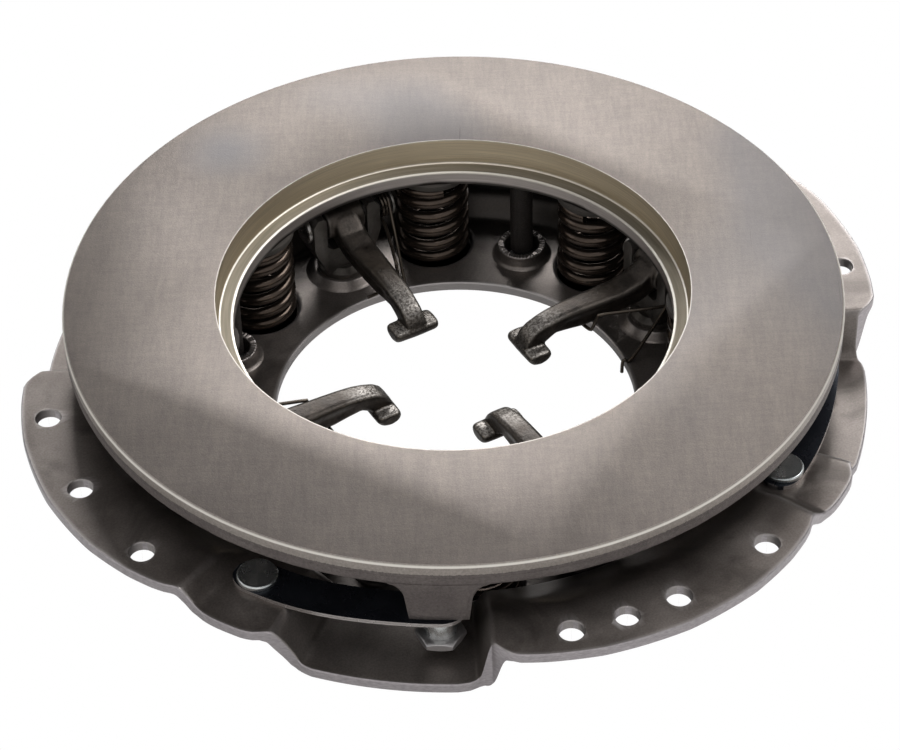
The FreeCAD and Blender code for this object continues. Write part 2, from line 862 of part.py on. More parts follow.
def clip_set(name, shift, radius, tail):
    body = new_body(name)
    sketch = new_sketch(body, "turned", "XY_Plane", shift)
    inner = f"{radius} + thread_fit"
    outer = f"{radius} + clip_rim"
    far = f"-({tail}) + 2 * pin_chamfer"
    corners = [
        (inner, far),
        (outer, far),
        (outer, f"{far} + clip_gauge"),
        (inner, f"{far} + clip_gauge"),
    ]
    add_polygon(sketch, corners)
    repeat_round(body, [revolve(body, sketch)])
    nodes.append(body)


ear_inner = "eye_half + side_gap"
ear_outer = f"{ear_inner} + ear_gauge"
clip_room = "side_gap + clip_gauge + 2 * pin_chamfer"
plate_pin_tail = f"{ear_outer} + {clip_room}"
twist_room = "2 * side_gap + twist_wire + twist_pitch * twist_turns"
fork_pin_tail = f"leg_outer + {twist_room} + {clip_room}"

for k in stations:
    fork = new_body(f"lever_fork_{k + 1}", station_turn(k))
    sketch = new_sketch(fork, "side", "YZ_Plane", ("0", "0", "pivot_radius"))
    add_polygon(sketch, fork_side)
    pad(fork, sketch, "leg_depth", both_ways=True)
    sketch = new_sketch(fork, "turned", "XZ_Plane", ("pivot_radius", "0", "0"))
    add_polygon(sketch, fork_turned)
    revolve(fork, sketch)
    sketch = new_sketch(fork, "hole", "XZ_Plane")
    add_circle(sketch, "pivot_radius", "pivot_height", "fork_pin_radius + pin_fit")
    pocket(fork, sketch, "4 * leg_outer", both_ways=True)
    nodes.append(fork)

    nut = new_body(f"adjusting_nut_{k + 1}", station_turn(k))
    sketch = new_sketch(nut, "turned", "XZ_Plane", ("pivot_radius", "0", "0"))
    add_polygon(sketch, nut_turned)
    revolve(nut, sketch)
    sketch = new_sketch(nut, "flats", "XY_Plane", ("pivot_radius", "0", f"{nut_foot} - 1"))
    add_hexagon(sketch, "nut_flats_half")
    add_circle(sketch, "0", "0", nut_bore)
    pad(nut, sketch, "nut_depth - 1", backwards=True)
    nodes.append(nut)

    pin = new_body(f"fork_pin_{k + 1}", station_turn(k))
    headed_pin(pin, pivot_shift, "fork_pin_radius", fork_pin_tail, "leg_outer + side_gap")
    nodes.append(pin)

    pin = new_body(f"plate_pin_{k + 1}", station_turn(k))
    shoulder = f"{ear_outer} + side_gap"
    headed_pin(pin, eye_shift, "plate_pin_radius", plate_pin_tail, shoulder)
    nodes.append(pin)

clip_set("fork_pin_clips", pivot_shift, "fork_pin_radius", fork_pin_tail)
clip_set("plate_pin_clips", eye_shift, "plate_pin_radius", plate_pin_tail)


# Pressure plate

plate = new_body("pressure_plate")
rim_low = "face_height - rim_depth"
sketch = new_sketch(plate, "section", "XZ_Plane")
add_polygon(
    sketch,
    [
        ("plate_bore", "web_height"),
        ("web_outer", "web_height"),
        ("rim_inner", "rim_inner_height"),
        ("plate_radius - 2 * face_chamfer", rim_low),
        ("plate_radius", f"{rim_low} + 2 * face_chamfer"),
        ("plate_radius", "face_height - face_chamfer"),
        ("plate_radius - face_chamfer", "face_height"),
        ("face_inner", "face_height"),
        ("step_radius", "step_height"),
        ("ledge_radius", "ledge_height"),
    ],
)
revolve(plate, sketch)

lug_out = "plate_radius + 5"
lug_top = f"{rim_low} + 3"


def lug_plan(half, inner):
    return [
        (f"{inner} + lug_corner", half),
        (inner, f"{half} - lug_corner"),
        (inner, f"-({half}) + lug_corner"),
        (f"{inner} + lug_corner", f"-({half})"),
        (lug_out, f"-({half})"),
        (lug_out, half),
    ]


sketch = new_sketch(plate, "lug", "XY_Plane", ("0", "0", lug_top), "lug_angle")
add_polygon(sketch, lug_plan("lug_half", "lug_inner"))
lug = pad(plate, sketch, f"{lug_top} - lug_foot", backwards=True)
lug.setExpression("TaperAngle", bound("-lug_draft"))
sketch = new_sketch(plate, "lug_root", "XY_Plane", ("0", "0", rim_low), "lug_angle")
add_polygon(sketch, lug_plan("lug_half + lug_root", "lug_inner"))
lug_root = pad(plate, sketch, "lug_root", backwards=True)
lug_root.setExpression("TaperAngle", "-45")

sketch = new_sketch(plate, "ear", "XZ_Plane")
add_polygon(
    sketch,
    [
        (f"{eye_radial} - ear_reach", "web_height + 1"),
        (f"{eye_radial} + ear_reach + 2", "web_height + 1"),
        (f"{eye_radial} + ear_reach", f"{eye_height} - 2"),
        (f"{eye_radial} + 0.45 * ear_reach", f"{eye_height} - 0.9 * ear_reach"),
        (f"{eye_radial} - 0.45 * ear_reach", f"{eye_height} - 0.9 * ear_reach"),
        (f"{eye_radial} - ear_reach", f"{eye_height} - 2"),
    ],
)
ear = pad(plate, sketch, f"2 * ({ear_outer})", both_ways=True)
sketch = new_sketch(plate, "ear_slot", "XZ_Plane")
add_polygon(
    sketch,
    [
        (f"{eye_radial} - 2 * ear_reach", "web_height"),
        (f"{eye_radial} + 2 * ear_reach", "web_height"),
        (f"{eye_radial} + 2 * ear_reach", f"{eye_height} - 2 * ear_reach"),
        (f"{eye_radial} - 2 * ear_reach", f"{eye_height} - 2 * ear_reach"),
    ],
)
ear_slot = pocket(plate, sketch, f"2 * ({ear_inner})", both_ways=True)

sketch = new_sketch(plate, "spigots", "XY_Plane", ("0", "0", "web_height + 1"))
for sign in ("", "-"):
    spigot_x = "sqrt(spring_centre ^ 2 - spring_side ^ 2)"
    spigot_y = f"{sign}spring_side"
    add_circle(sketch, spigot_x, spigot_y, "spigot_radius")
spigots = pad(plate, sketch, "spigot_length + 1", backwards=True)

sketch = new_sketch(plate, "post", "XY_Plane", ("0", "0", "web_height + 1"))
post_x = "pivot_radius * cos(post_angle)"
post_y = "pivot_radius * sin(post_angle)"
add_circle(sketch, post_x, post_y, "post_radius")
post = pad(plate, sketch, "web_height + 1 - post_foot", backwards=True)
repeat_round(plate, [lug, lug_root, ear, ear_slot, spigots, post])

sketch = new_sketch(plate, "ear_hole", "XZ_Plane")
add_circle(sketch, eye_radial, eye_height, "plate_pin_radius + pin_fit")
ear_hole = pocket(plate, sketch, f"4 * ({ear_outer})", both_ways=True)
sketch = new_sketch(plate, "post_hole", "XY_Plane", ("0", "0", "post_foot"))
add_circle(sketch, post_x, post_y, "hold_bolt_radius + thread_fit")
post_hole = pocket(plate, sketch, "hold_bolt_grip + 1", backwards=True)
sketch = new_sketch(plate, "lug_hole", "XY_Plane", ("0", "0", "lug_foot"))
lug_x = "strap_circle * cos(lug_angle)"
lug_y = "strap_circle * sin(lug_angle)"
add_circle(sketch, lug_x, lug_y, "strap_bolt_radius + thread_fit")
lug_hole = pocket(plate, sketch, "strap_bolt_grip + 1", backwards=True)
repeat_round(plate, [ear_hole, post_hole, lug_hole])

sketch = new_sketch(plate, "trim", "XZ_Plane")
add_polygon(
    sketch,
    [
        ("plate_radius", rim_low),
        ("plate_radius - lug_lean", "lug_foot"),
        ("plate_radius - lug_lean", "lug_foot - 10"),
        ("plate_radius + 30", "lug_foot - 10"),
        ("plate_radius + 30", "face_height + 10"),
        ("plate_radius", "face_height + 10"),
    ],
)
revolve(plate, sketch, "Groove")
nodes.append(plate)


# Insulator rings under the plate

insulators = new_body("spring_insulators")
sketch = new_sketch(insulators, "rings", "XY_Plane", ("0", "0", "web_height"))
for sign in ("", "-"):
    ring_x = "sqrt(spring_centre ^ 2 - spring_side ^ 2)"
    ring_y = f"{sign}spring_side"
    add_circle(sketch, ring_x, ring_y, "spring_outer + 0.8")
    add_circle(sketch, ring_x, ring_y, "insulator_bore")
repeat_round(insulators, [pad(insulators, sketch, "insulator_gauge", backwards=True)])
nodes.append(insulators)


# Drive straps of two leaves, from the rivet on the shoulder up to the lug

strap_turn = "(lug_angle + rivet_angle) / 2"
strap_centre = "strap_circle * cos((lug_angle - rivet_angle) / 2)"
strap_reach = "strap_circle * sin((lug_angle - rivet_angle) / 2)"
bend = f"({strap_reach} - strap_flat)"
strap_end = f"({strap_reach} + strap_end_reach + 2)"
stack = "(2 * leaf_gauge + leaf_gap)"


def strap_line(lift):
    low = f"shoulder_height + {lift}"
    high = f"lug_foot - {stack} + {lift}"
    return [
        (f"-{strap_end}", low),
        (f"-{bend}", low),
        (bend, high),
        (strap_end, high),
    ]


half_span = "(lug_angle - rivet_angle) / 2"


def ring_spot(out, along, turn):
    radius = f"(strap_circle + {out} * strap_half)"
    beside = f"({along} * strap_end_reach)"
    return (
        f"{radius} * cos({turn}) - {beside} * sin({turn})",
        f"{radius} * sin({turn}) + {beside} * cos({turn})",
    )


def strap_plan():
    caps = [(1, 0), (0.85, 0.5), (0.414, 0.9), (-0.414, 0.9), (-0.85, 0.5), (-1, 0)]
    shares = [0.75, 0.5, 0.25, 0, -0.25, -0.5, -0.75]
    corners = [ring_spot(out, along, half_span) for out, along in caps]
    corners += [ring_spot(-1, 0, f"({share} * {half_span})") for share in shares]
    corners += [ring_spot(out, -along, f"(-{half_span})") for out, along in caps[::-1]]
    corners += [ring_spot(1, 0, f"({share} * {half_span})") for share in shares[::-1]]
    return corners


for k in stations:
    strap = new_body(f"strap_{k + 1}", f"{station_turn(k)} + {strap_turn}")
    sketch = new_sketch(strap, "plan", "XY_Plane", ("0", "0", "shoulder_height - 2"))
    add_polygon(sketch, strap_plan())
    pad(strap, sketch, f"lug_foot - shoulder_height + {stack} + 4")
    sketch = new_sketch(strap, "leaves", "YZ_Plane", ("0", "0", strap_centre))
    over = [(strap_end, "lug_foot + 8"), (f"-{strap_end}", "lug_foot + 8")]
    beneath = [(strap_end, "shoulder_height - 8"), (f"-{strap_end}", "shoulder_height - 8")]
    add_polygon(sketch, strap_line(stack) + over)
    add_polygon(sketch, strap_line("0") + beneath)
    add_polygon(sketch, strap_line("leaf_gauge + leaf_gap") + strap_line("leaf_gauge")[::-1])
    pocket(strap, sketch, "4 * strap_half", both_ways=True)
    sketch = new_sketch(strap, "holes", "XY_Plane")
    add_circle(sketch, strap_centre, f"-{strap_reach}", "rivet_shank + thread_fit")
    add_circle(sketch, strap_centre, strap_reach, "strap_bolt_radius + pin_fit")
    pocket(strap, sketch, "40", both_ways=True)
    nodes.append(strap)


# Rivets through the straps and the cover's shoulders

def turned_set(name, turn, radius, corners):
    body = new_body(name, turn)
    sketch = new_sketch(body, "turned", "XZ_Plane", (radius, "0", "0"))
    add_polygon(sketch, corners)
    return body, revolve(body, sketch)


strap_top = f"shoulder_height + {stack}"
rivet_back = "shoulder_height - sheet_gauge"
rivets, turned = turned_set(
    "strap_rivets",
    "rivet_angle",
    "strap_circle",
    [
        ("0", f"{strap_top} + rivet_head_gauge"),
        ("rivet_head - 2 * rivet_dome", f"{strap_top} + rivet_head_gauge"),
        ("rivet_head", f"{strap_top} + rivet_head_gauge - rivet_dome"),
        ("rivet_head", strap_top),
        ("rivet_shank", strap_top),
        ("rivet_shank", rivet_back),
        ("rivet_head - 1", rivet_back),
        ("rivet_head - 3", f"{rivet_back} - rivet_head_gauge"),
        ("0", f"{rivet_back} - rivet_head_gauge"),
    ],
)
repeat_round(rivets, [turned])
nodes.append(rivets)


# Strap bolts and sleeves under the lugs

strap_foot = f"lug_foot - {stack}"
sleeve_foot = f"{strap_foot} - sleeve_length"
bolts, turned = turned_set(
    "strap_bolts",
    "lug_angle",
    "strap_circle",
    [
        ("0", "lug_foot + strap_bolt_grip"),
        ("strap_bolt_radius - pin_chamfer", "lug_foot + strap_bolt_grip"),
        ("strap_bolt_radius", "lug_foot + strap_bolt_grip - pin_chamfer"),
        ("strap_bolt_radius", f"{sleeve_foot} - 1"),
        ("0", f"{sleeve_foot} - 1"),
    ],
)
sketch = new_sketch(bolts, "flats", "XY_Plane", ("strap_circle", "0", sleeve_foot))
add_hexagon(sketch, "strap_bolt_flats_half")
head = pad(bolts, sketch, "strap_bolt_head", backwards=True)
repeat_round(bolts, [turned, head])
nodes.append(bolts)

sleeves, turned = turned_set(
    "strap_sleeves",
    "lug_angle",
    "strap_circle",
    [
        ("strap_bolt_radius + pin_fit", strap_foot),
        ("sleeve_radius", strap_foot),
        ("sleeve_radius", sleeve_foot),
        ("strap_bolt_radius + pin_fit", sleeve_foot),
    ],
)
repeat_round(sleeves, [turned])
nodes.append(sleeves)


# Flanged hold-down bolts through the collars into the plate's posts

flange_top = f"{floor_back} - seat_gap"
hold, turned = turned_set(
    "hold_down_bolts",
    "post_angle",
    "pivot_radius",
    [
        ("0", "post_foot + hold_bolt_grip"),
        ("hold_bolt_radius - pin_chamfer", "post_foot + hold_bolt_grip"),
        ("hold_bolt_radius", "post_foot + hold_bolt_grip - pin_chamfer"),
        ("hold_bolt_radius", flange_top),
        ("hold_washer_radius - pin_chamfer", flange_top),
        ("hold_washer_radius", f"{flange_top} - pin_chamfer"),
        ("hold_washer_radius", f"{flange_top} - hold_washer_gauge"),
        ("0", f"{flange_top} - hold_washer_gauge"),
    ],
)
washer_foot = f"{flange_top} - hold_washer_gauge"
sketch = new_sketch(hold, "flats", "XY_Plane", ("pivot_radius", "0", f"{washer_foot} + 1"))
add_hexagon(sketch, "hold_flats_half")
head = pad(hold, sketch, "hold_head + 1", backwards=True)
repeat_round(hold, [turned, head])
nodes.append(hold)

doc.recompute()

os.makedirs("parts", exist_ok=True)
for node in nodes:
    shape = node.Shape
    if "Invalid" in node.State or "Error" in node.State:
        raise RuntimeError(f"{node.Label} is not up to date: {node.State}")
    if shape.isNull() or not shape.isValid():
        raise RuntimeError(f"{node.Label} has no valid shape")
    shape.exportStep(f"parts/{node.Label}.step")
    print(node.Label, len(shape.Solids), round(shape.Volume), shape.BoundBox)
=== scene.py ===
import json
import math

import bmesh
import bpy
import numpy as np
from mathutils import Matrix, Vector


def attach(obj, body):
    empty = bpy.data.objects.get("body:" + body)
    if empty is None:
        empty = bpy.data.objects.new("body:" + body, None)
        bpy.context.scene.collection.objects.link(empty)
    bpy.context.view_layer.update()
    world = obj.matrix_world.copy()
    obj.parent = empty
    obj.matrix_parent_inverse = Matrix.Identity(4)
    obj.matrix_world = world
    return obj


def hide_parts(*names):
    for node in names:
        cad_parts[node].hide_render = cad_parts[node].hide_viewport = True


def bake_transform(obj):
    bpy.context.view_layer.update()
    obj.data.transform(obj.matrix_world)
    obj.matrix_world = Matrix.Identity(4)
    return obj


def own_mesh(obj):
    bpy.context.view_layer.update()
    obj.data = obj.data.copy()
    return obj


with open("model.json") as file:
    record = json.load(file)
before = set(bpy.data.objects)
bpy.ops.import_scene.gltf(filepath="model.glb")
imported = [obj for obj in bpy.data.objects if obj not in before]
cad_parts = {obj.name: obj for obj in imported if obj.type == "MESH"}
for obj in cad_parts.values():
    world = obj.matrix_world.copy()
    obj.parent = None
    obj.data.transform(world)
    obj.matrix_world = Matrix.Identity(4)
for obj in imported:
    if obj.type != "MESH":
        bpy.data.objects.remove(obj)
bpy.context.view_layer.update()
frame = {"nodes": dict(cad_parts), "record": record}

# Lengths below are in millimetres in the row frame and angles in degrees, unless a name says otherwise.

MM = 0.001
QUARTER = 90.0
STATIONS = range(4)
FLOOR_Z = -58.0

COVER_BORE = 84.2
FLOOR_HEIGHT = -37.1
SHEET = 5.0
SHOULDER_HEIGHT, RECESS_HEIGHT = -6.6, -23.5
PAD = [(84.2, -37.1), (133, -37.1), (145, -14), (163, -3), (171, 0), (208, 0)]
SHOULDER = [(84.2, -37.1), (133, -37.1), (143, -16), (150, -6.6), (160, -6.6), (208, -6.6)]
RECESS = [(84.2, -37.1), (133, -37.1), (139.5, -25.5), (143.5, -23.5), (153.5, -23.5), (208, -23.5)]
PAD_START = -25.437
PAD_END = 23.263
SHOULDER_START = 25.763
SHOULDER_END = 36.563
RECESS_START = 39.763
RECESS_END = 63.563

BOLT_RING = 188.0
BOLT_HOLE = 5.5
BOLT_ANGLES = (-15.0, 0.0, 15.0)
DOWEL_HOLE = 5.2
DOWEL_ANGLES = (82.5, 262.5)
PIVOT_RADIUS = 111.0
PIVOT_HEIGHT = -4.2
EYE_RADIUS = 130.0
EYE_HEIGHT = -1.7
SPRING_CENTRE = 116.8
SPRING_ANGLE = 24.5
SPRING_OUTER = 18.2
SPRING_WIRE = 5.8
SPRING_PITCH = 8.65
CUP_FLOOR = -40.1
CUP_RADIUS = 19.5
INSULATOR_FOOT = 9.0
SEAT_GAP = 0.3
SPRING_SPOTS = [k * 90.0 + side for k in range(4) for side in (-SPRING_ANGLE, SPRING_ANGLE)]
POST_ANGLE = 43.0
LUG_ANGLE = 58.0
RIVET_ANGLE = 30.0
STRAP_CIRCLE = 166.5
STRAP_LOW, STRAP_TOP, STRAP_HIGH = -6.6, -4.6, -4.0
STRAP_HALF = 9.0
STRAP_END = 12.0
STRAP_BEND = 26.3
LEAF, LEAF_GAP = 0.95, 0.1
SLEEVE_FOOT = -14.4
LUG_FOOT = -2.0
RIM_LOW = 21.6
RIM_OUTER = 176.0
FLARE_FALL = 0.25


# Node materials

def new_material(name):
    material = bpy.data.materials.new(name)
    material.use_nodes = True
    return material, material.node_tree, material.node_tree.nodes["Principled BSDF"]


def noise_node(tree, vector, scale, detail=4.0, rough=0.55, distortion=0.0):
    node = tree.nodes.new("ShaderNodeTexNoise")
    node.inputs["Scale"].default_value = scale
    node.inputs["Detail"].default_value = detail
    node.inputs["Roughness"].default_value = rough
    node.inputs["Distortion"].default_value = distortion
    tree.links.new(vector, node.inputs["Vector"])
    return node.outputs["Fac"]


def stretched(tree, vector, scale, turn=0.0):
    spin = tree.nodes.new("ShaderNodeMapping")
    spin.inputs["Rotation"].default_value = (0, 0, math.radians(turn))
    tree.links.new(vector, spin.inputs["Vector"])
    node = tree.nodes.new("ShaderNodeMapping")
    node.inputs["Scale"].default_value = scale
    tree.links.new(spin.outputs["Vector"], node.inputs["Vector"])
    return node.outputs["Vector"]


def ramp_node(tree, value, stops):
    node = tree.nodes.new("ShaderNodeValToRGB")
    ramp = node.color_ramp
    while len(ramp.elements) < len(stops):
        ramp.elements.new(0.5)
    for element, (place, colour) in zip(ramp.elements, stops):
        element.position = place
        element.color = (*colour, 1.0)
    tree.links.new(value, node.inputs["Fac"])
    return node.outputs["Color"]


def spread(tree, value, low, high, start=0.3, end=0.7):
    node = tree.nodes.new("ShaderNodeMapRange")
    node.inputs["From Min"].default_value = start
    node.inputs["From Max"].default_value = end
    node.inputs["To Min"].default_value = low
    node.inputs["To Max"].default_value = high
    tree.links.new(value, node.inputs["Value"])
    return node.outputs["Result"]


def mixed(tree, factor, a, b, blend="MIX"):
    node = tree.nodes.new("ShaderNodeMix")
    node.data_type = "RGBA"
    node.blend_type = blend
    for value, socket in ((factor, node.inputs["Factor"]), (a, node.inputs["A"]), (b, node.inputs["B"])):
        if isinstance(value, (int, float)):
            socket.default_value = value
        elif isinstance(value, tuple):
            socket.default_value = (*value, 1.0)
        else:
            tree.links.new(value, socket)
    return node.outputs["Result"]


def maths(tree, operation, a, b=0.0):
    node = tree.nodes.new("ShaderNodeMath")
    node.operation = operation
    for value, socket in zip((a, b), node.inputs):
        if isinstance(value, (int, float)):
            socket.default_value = value
        else:
            tree.links.new(value, socket)
    return node.outputs[0]


def bump_node(tree, height, strength, depth):
    node = tree.nodes.new("ShaderNodeBump")
    node.inputs["Strength"].default_value = strength
    node.inputs["Distance"].default_value = depth
    tree.links.new(height, node.inputs["Height"])
    return node.outputs["Normal"]


def height_of(tree, vector):
    split = tree.nodes.new("ShaderNodeSeparateXYZ")
    tree.links.new(vector, split.inputs["Vector"])
    return split.outputs["Z"]


# Lightens the upward-facing faces near the lever noses, in noisy patches.
def pale_nose_tops(material):
    tree = material.node_tree
    shader = tree.nodes["Principled BSDF"]
    place = tree.nodes.new("ShaderNodeTexCoord").outputs["Object"]
    radius = radius_node(tree, place)
    upward = height_of(tree, tree.nodes.new("ShaderNodeNewGeometry").outputs["Normal"])
    facing = spread(tree, upward, 0.0, 1.0, 0.25, 0.8)
    near = spread(tree, radius, 1.0, 0.0, 0.044, 0.060)
    nose_patch_noise = noise_node(tree, place, 900.0, 3.0, 0.6)
    amount = maths(tree, "MULTIPLY", maths(tree, "MULTIPLY", facing, near),
                   spread(tree, nose_patch_noise, 0.15, 0.85, 0.42, 0.58))
    before = shader.inputs["Base Color"].links[0].from_socket
    tree.links.new(mixed(tree, amount, before, (0.30, 0.28, 0.26)), shader.inputs["Base Color"])


def within(tree, value, low, high, soft):
    rise = spread(tree, value, 0.0, 1.0, low - soft, low + soft)
    fall = spread(tree, value, 1.0, 0.0, high - soft, high + soft)
    return maths(tree, "MULTIPLY", rise, fall)


def radius_node(tree, place):
    flat = tree.nodes.new("ShaderNodeVectorMath")
    flat.operation = "MULTIPLY"
    tree.links.new(place, flat.inputs[0])
    flat.inputs[1].default_value = (1, 1, 0)
    length = tree.nodes.new("ShaderNodeVectorMath")
    length.operation = "LENGTH"
    tree.links.new(flat.outputs["Vector"], length.inputs[0])
    return length.outputs["Value"]


def worn_steel(name, dark, light, metallic=0.85, rough=(0.35, 0.6), mottle=60.0, grain=1400.0,
               bump=0.25, edge=(0.5, 0.48, 0.45), edge_share=0.5, blotch=0.0, sheared=None, painted_shade_ring=None):
    material, tree, shader = new_material(name)
    place = tree.nodes.new("ShaderNodeTexCoord").outputs["Object"]
    mottling = noise_node(tree, place, mottle, 5.0, 0.6, 0.3)
    grains = noise_node(tree, place, grain, 3.0, 0.6)
    colour = ramp_node(tree, mottling, [(0.3, dark), (0.7, light)])
    speckle = ramp_node(tree, grains, [(0.35, (0.8, 0.8, 0.8)), (0.65, (1.15, 1.15, 1.15))])
    colour = mixed(tree, 0.7, colour, speckle, "MULTIPLY")
    if blotch:
        stains = noise_node(tree, place, mottle * 0.55, 6.0, 0.62, 1.2)
        stained = spread(tree, stains, 0.0, blotch, 0.54, 0.66)
        colour = mixed(tree, stained, colour, tuple(0.45 * c for c in dark))
    geometry = tree.nodes.new("ShaderNodeNewGeometry")
    edges = spread(tree, geometry.outputs["Pointiness"], 0.0, edge_share, 0.51, 0.58)
    colour = mixed(tree, edges, colour, edge)
    if sheared or painted_shade_ring:
        radius = radius_node(tree, place)
    if sheared:
        outward = tree.nodes.new("ShaderNodeVectorMath")
        outward.operation = "DOT_PRODUCT"
        tree.links.new(geometry.outputs["True Normal"], outward.inputs[0])
        tree.links.new(place, outward.inputs[1])
        upward = height_of(tree, geometry.outputs["True Normal"])
        level_part = maths(tree, "MULTIPLY", upward, height_of(tree, place))
        radial = maths(tree, "SUBTRACT", outward.outputs["Value"], level_part)
        radial = maths(tree, "DIVIDE", radial, radius)
        steep = maths(tree, "GREATER_THAN", radial, 0.62)
        outer = maths(tree, "GREATER_THAN", radius, sheared[1])
        torn = noise_node(tree, stretched(tree, place, (420, 420, 1500), 0), 1.0, 4.0, 0.65)
        torn = ramp_node(tree, torn, [(0.35, tuple(0.72 * c for c in sheared[0])), (0.65, sheared[0])])
        colour = mixed(tree, maths(tree, "MULTIPLY", steep, outer), colour, torn)
    # Painted shade: a band of radii on the cover (the floor around the springs and the slopes behind them) is
    # darkened almost to black.
    if painted_shade_ring:
        painted_shade_band = within(tree, radius, painted_shade_ring[0], painted_shade_ring[1], 0.006)
        colour = mixed(tree, maths(tree, "MULTIPLY", painted_shade_band, 0.85), colour,
                       tuple(0.15 * c for c in dark))
    tree.links.new(colour, shader.inputs["Base Color"])
    tree.links.new(spread(tree, mottling, rough[0], rough[1]), shader.inputs["Roughness"])
    shader.inputs["Metallic"].default_value = metallic
    tree.links.new(bump_node(tree, grains, bump, 0.0002), shader.inputs["Normal"])
    return material


def plate_material():
    material, tree, shader = new_material("plate_iron")
    place = tree.nodes.new("ShaderNodeTexCoord").outputs["Object"]
    z = height_of(tree, place)
    radius = radius_node(tree, place)
    upward = height_of(tree, tree.nodes.new("ShaderNodeNewGeometry").outputs["True Normal"])

    def both(a, b):
        return maths(tree, "MULTIPLY", a, b)

    on_face = both(maths(tree, "GREATER_THAN", z, 0.0324), maths(tree, "GREATER_THAN", upward, 0.9))
    inner = maths(tree, "LESS_THAN", radius, 0.1079)

    # Ground face: warm grey with a cross-hatched grain, heat tints and a few dark scores
    clouds = noise_node(tree, place, 13.0, 4.0, 0.55, 0.4)
    ground = ramp_node(tree, clouds, [(0.3, (0.136, 0.119, 0.109)), (0.7, (0.160, 0.141, 0.129))])
    weave = ((29.0, 520, 90, 0.6), (119.0, 520, 90, 0.45), (29.0, 120, 24, 0.45))
    for turn, fineness, length, share in weave:
        lay = stretched(tree, place, (fineness, length, 200), turn)
        threads = noise_node(tree, lay, 1.0, 3.0, 0.6)
        tint = ramp_node(tree, threads, [(0.35, (0.90, 0.90, 0.905)), (0.65, (1.09, 1.08, 1.07))])
        ground = mixed(tree, share, ground, tint, "MULTIPLY")
    grains = noise_node(tree, place, 1500.0, 3.0, 0.6)
    tint = ramp_node(tree, grains, [(0.35, (0.90, 0.90, 0.90)), (0.65, (1.09, 1.09, 1.09))])
    ground = mixed(tree, 0.8, ground, tint, "MULTIPLY")
    heat = noise_node(tree, place, 9.0, 1.0, 0.4)
    ground = mixed(tree, spread(tree, heat, 0.0, 0.5, 0.60, 0.72), ground, (0.110, 0.108, 0.114))
    spot = tree.nodes.new("ShaderNodeVectorMath")
    spot.operation = "DISTANCE"
    tree.links.new(place, spot.inputs[0])
    spot.inputs[1].default_value = (-0.043, 0.142, 0.0329)
    ground = mixed(tree, spread(tree, spot.outputs["Value"], 0.6, 0.0, 0.004, 0.026), ground,
                   (0.105, 0.104, 0.110))
    scores = noise_node(tree, stretched(tree, place, (1300, 16, 200), 31), 1.0, 1.0, 0.5)
    ground = mixed(tree, spread(tree, scores, 0.0, 0.5, 0.79, 0.82), ground, (0.05, 0.045, 0.042))

    # Turned inner wall, ledge and bore; the wall's gold is its warm turned finish, brightened as a painted
    # reflection of the pale surroundings
    turned = noise_node(tree, stretched(tree, place, (30, 30, 3500), 0), 1.0, 2.0, 0.5)
    gold_and_painted_reflection = ramp_node(tree, turned, [(0.3, (0.58, 0.49, 0.35)), (0.7, (0.78, 0.66, 0.47))])
    pale = ramp_node(tree, turned, [(0.3, (0.15, 0.132, 0.100)), (0.7, (0.21, 0.185, 0.145))])
    mauve = ramp_node(tree, turned, [(0.3, (0.42, 0.375, 0.35)), (0.7, (0.56, 0.51, 0.48))])
    ledge = both(maths(tree, "GREATER_THAN", upward, 0.5), maths(tree, "LESS_THAN", z, 0.0215))
    bore = maths(tree, "LESS_THAN", radius, 0.1013)
    turning = mixed(tree, ledge, gold_and_painted_reflection, pale)
    turning = mixed(tree, both(bore, maths(tree, "LESS_THAN", z, 0.0183)), turning, mauve)

    # Rim: a finer band under the face, rough cast iron below and underneath
    cast_noise = noise_node(tree, place, 850.0, 6.0, 0.7)
    cast_cloud = noise_node(tree, place, 60.0, 4.0, 0.55)
    cast = ramp_node(tree, cast_cloud, [(0.3, (0.130, 0.110, 0.104)), (0.7, (0.185, 0.160, 0.150))])
    pits = ramp_node(tree, cast_noise, [(0.32, (0.62, 0.62, 0.62)), (0.68, (1.25, 1.25, 1.25))])
    cast = mixed(tree, 0.8, cast, pits, "MULTIPLY")
    band_edge = maths(tree, "ADD", z, maths(tree, "MULTIPLY", cast_noise, 0.0012))
    band_high = both(maths(tree, "GREATER_THAN", band_edge, 0.0283),
                     maths(tree, "GREATER_THAN", radius, 0.15))
    band = ramp_node(tree, cast_noise, [(0.3, (0.255, 0.226, 0.205)), (0.7, (0.40, 0.36, 0.325))])
    colour = mixed(tree, band_high, cast, band)
    machined_in = both(inner, maths(tree, "GREATER_THAN", z, 0.0118))
    colour = mixed(tree, machined_in, colour, turning)
    colour = mixed(tree, on_face, colour, ground)
    # Painted highlights: thin near-white lines on the face's outer chamfer, weaker ones on its inner edge and
    # two on the bore's lips stand in for the glints of these edges.
    outer_lip_highlight = both(within(tree, radius, 0.1753, 0.1762, 0.0002),
                     within(tree, z, 0.0316, 0.034, 0.0002))
    inner_lip_highlight = both(within(tree, radius, 0.1066, 0.1077, 0.0002),
                     within(tree, z, 0.0322, 0.034, 0.0002))
    painted_highlight = maths(tree, "MAXIMUM", outer_lip_highlight, maths(tree, "MULTIPLY", inner_lip_highlight, 0.35))
    bore_lip_highlights = maths(tree, "MAXIMUM", within(tree, radius, 0.1000, 0.1012, 0.0002),
                 within(tree, radius, 0.1058, 0.1068, 0.0002))
    bore_lip_highlights = both(bore_lip_highlights, within(tree, z, 0.0178, 0.0206, 0.0002))
    painted_highlight = maths(tree, "MAXIMUM", painted_highlight, bore_lip_highlights)
    colour = mixed(tree, maths(tree, "MULTIPLY", painted_highlight, 0.8), colour, (0.90, 0.86, 0.79))
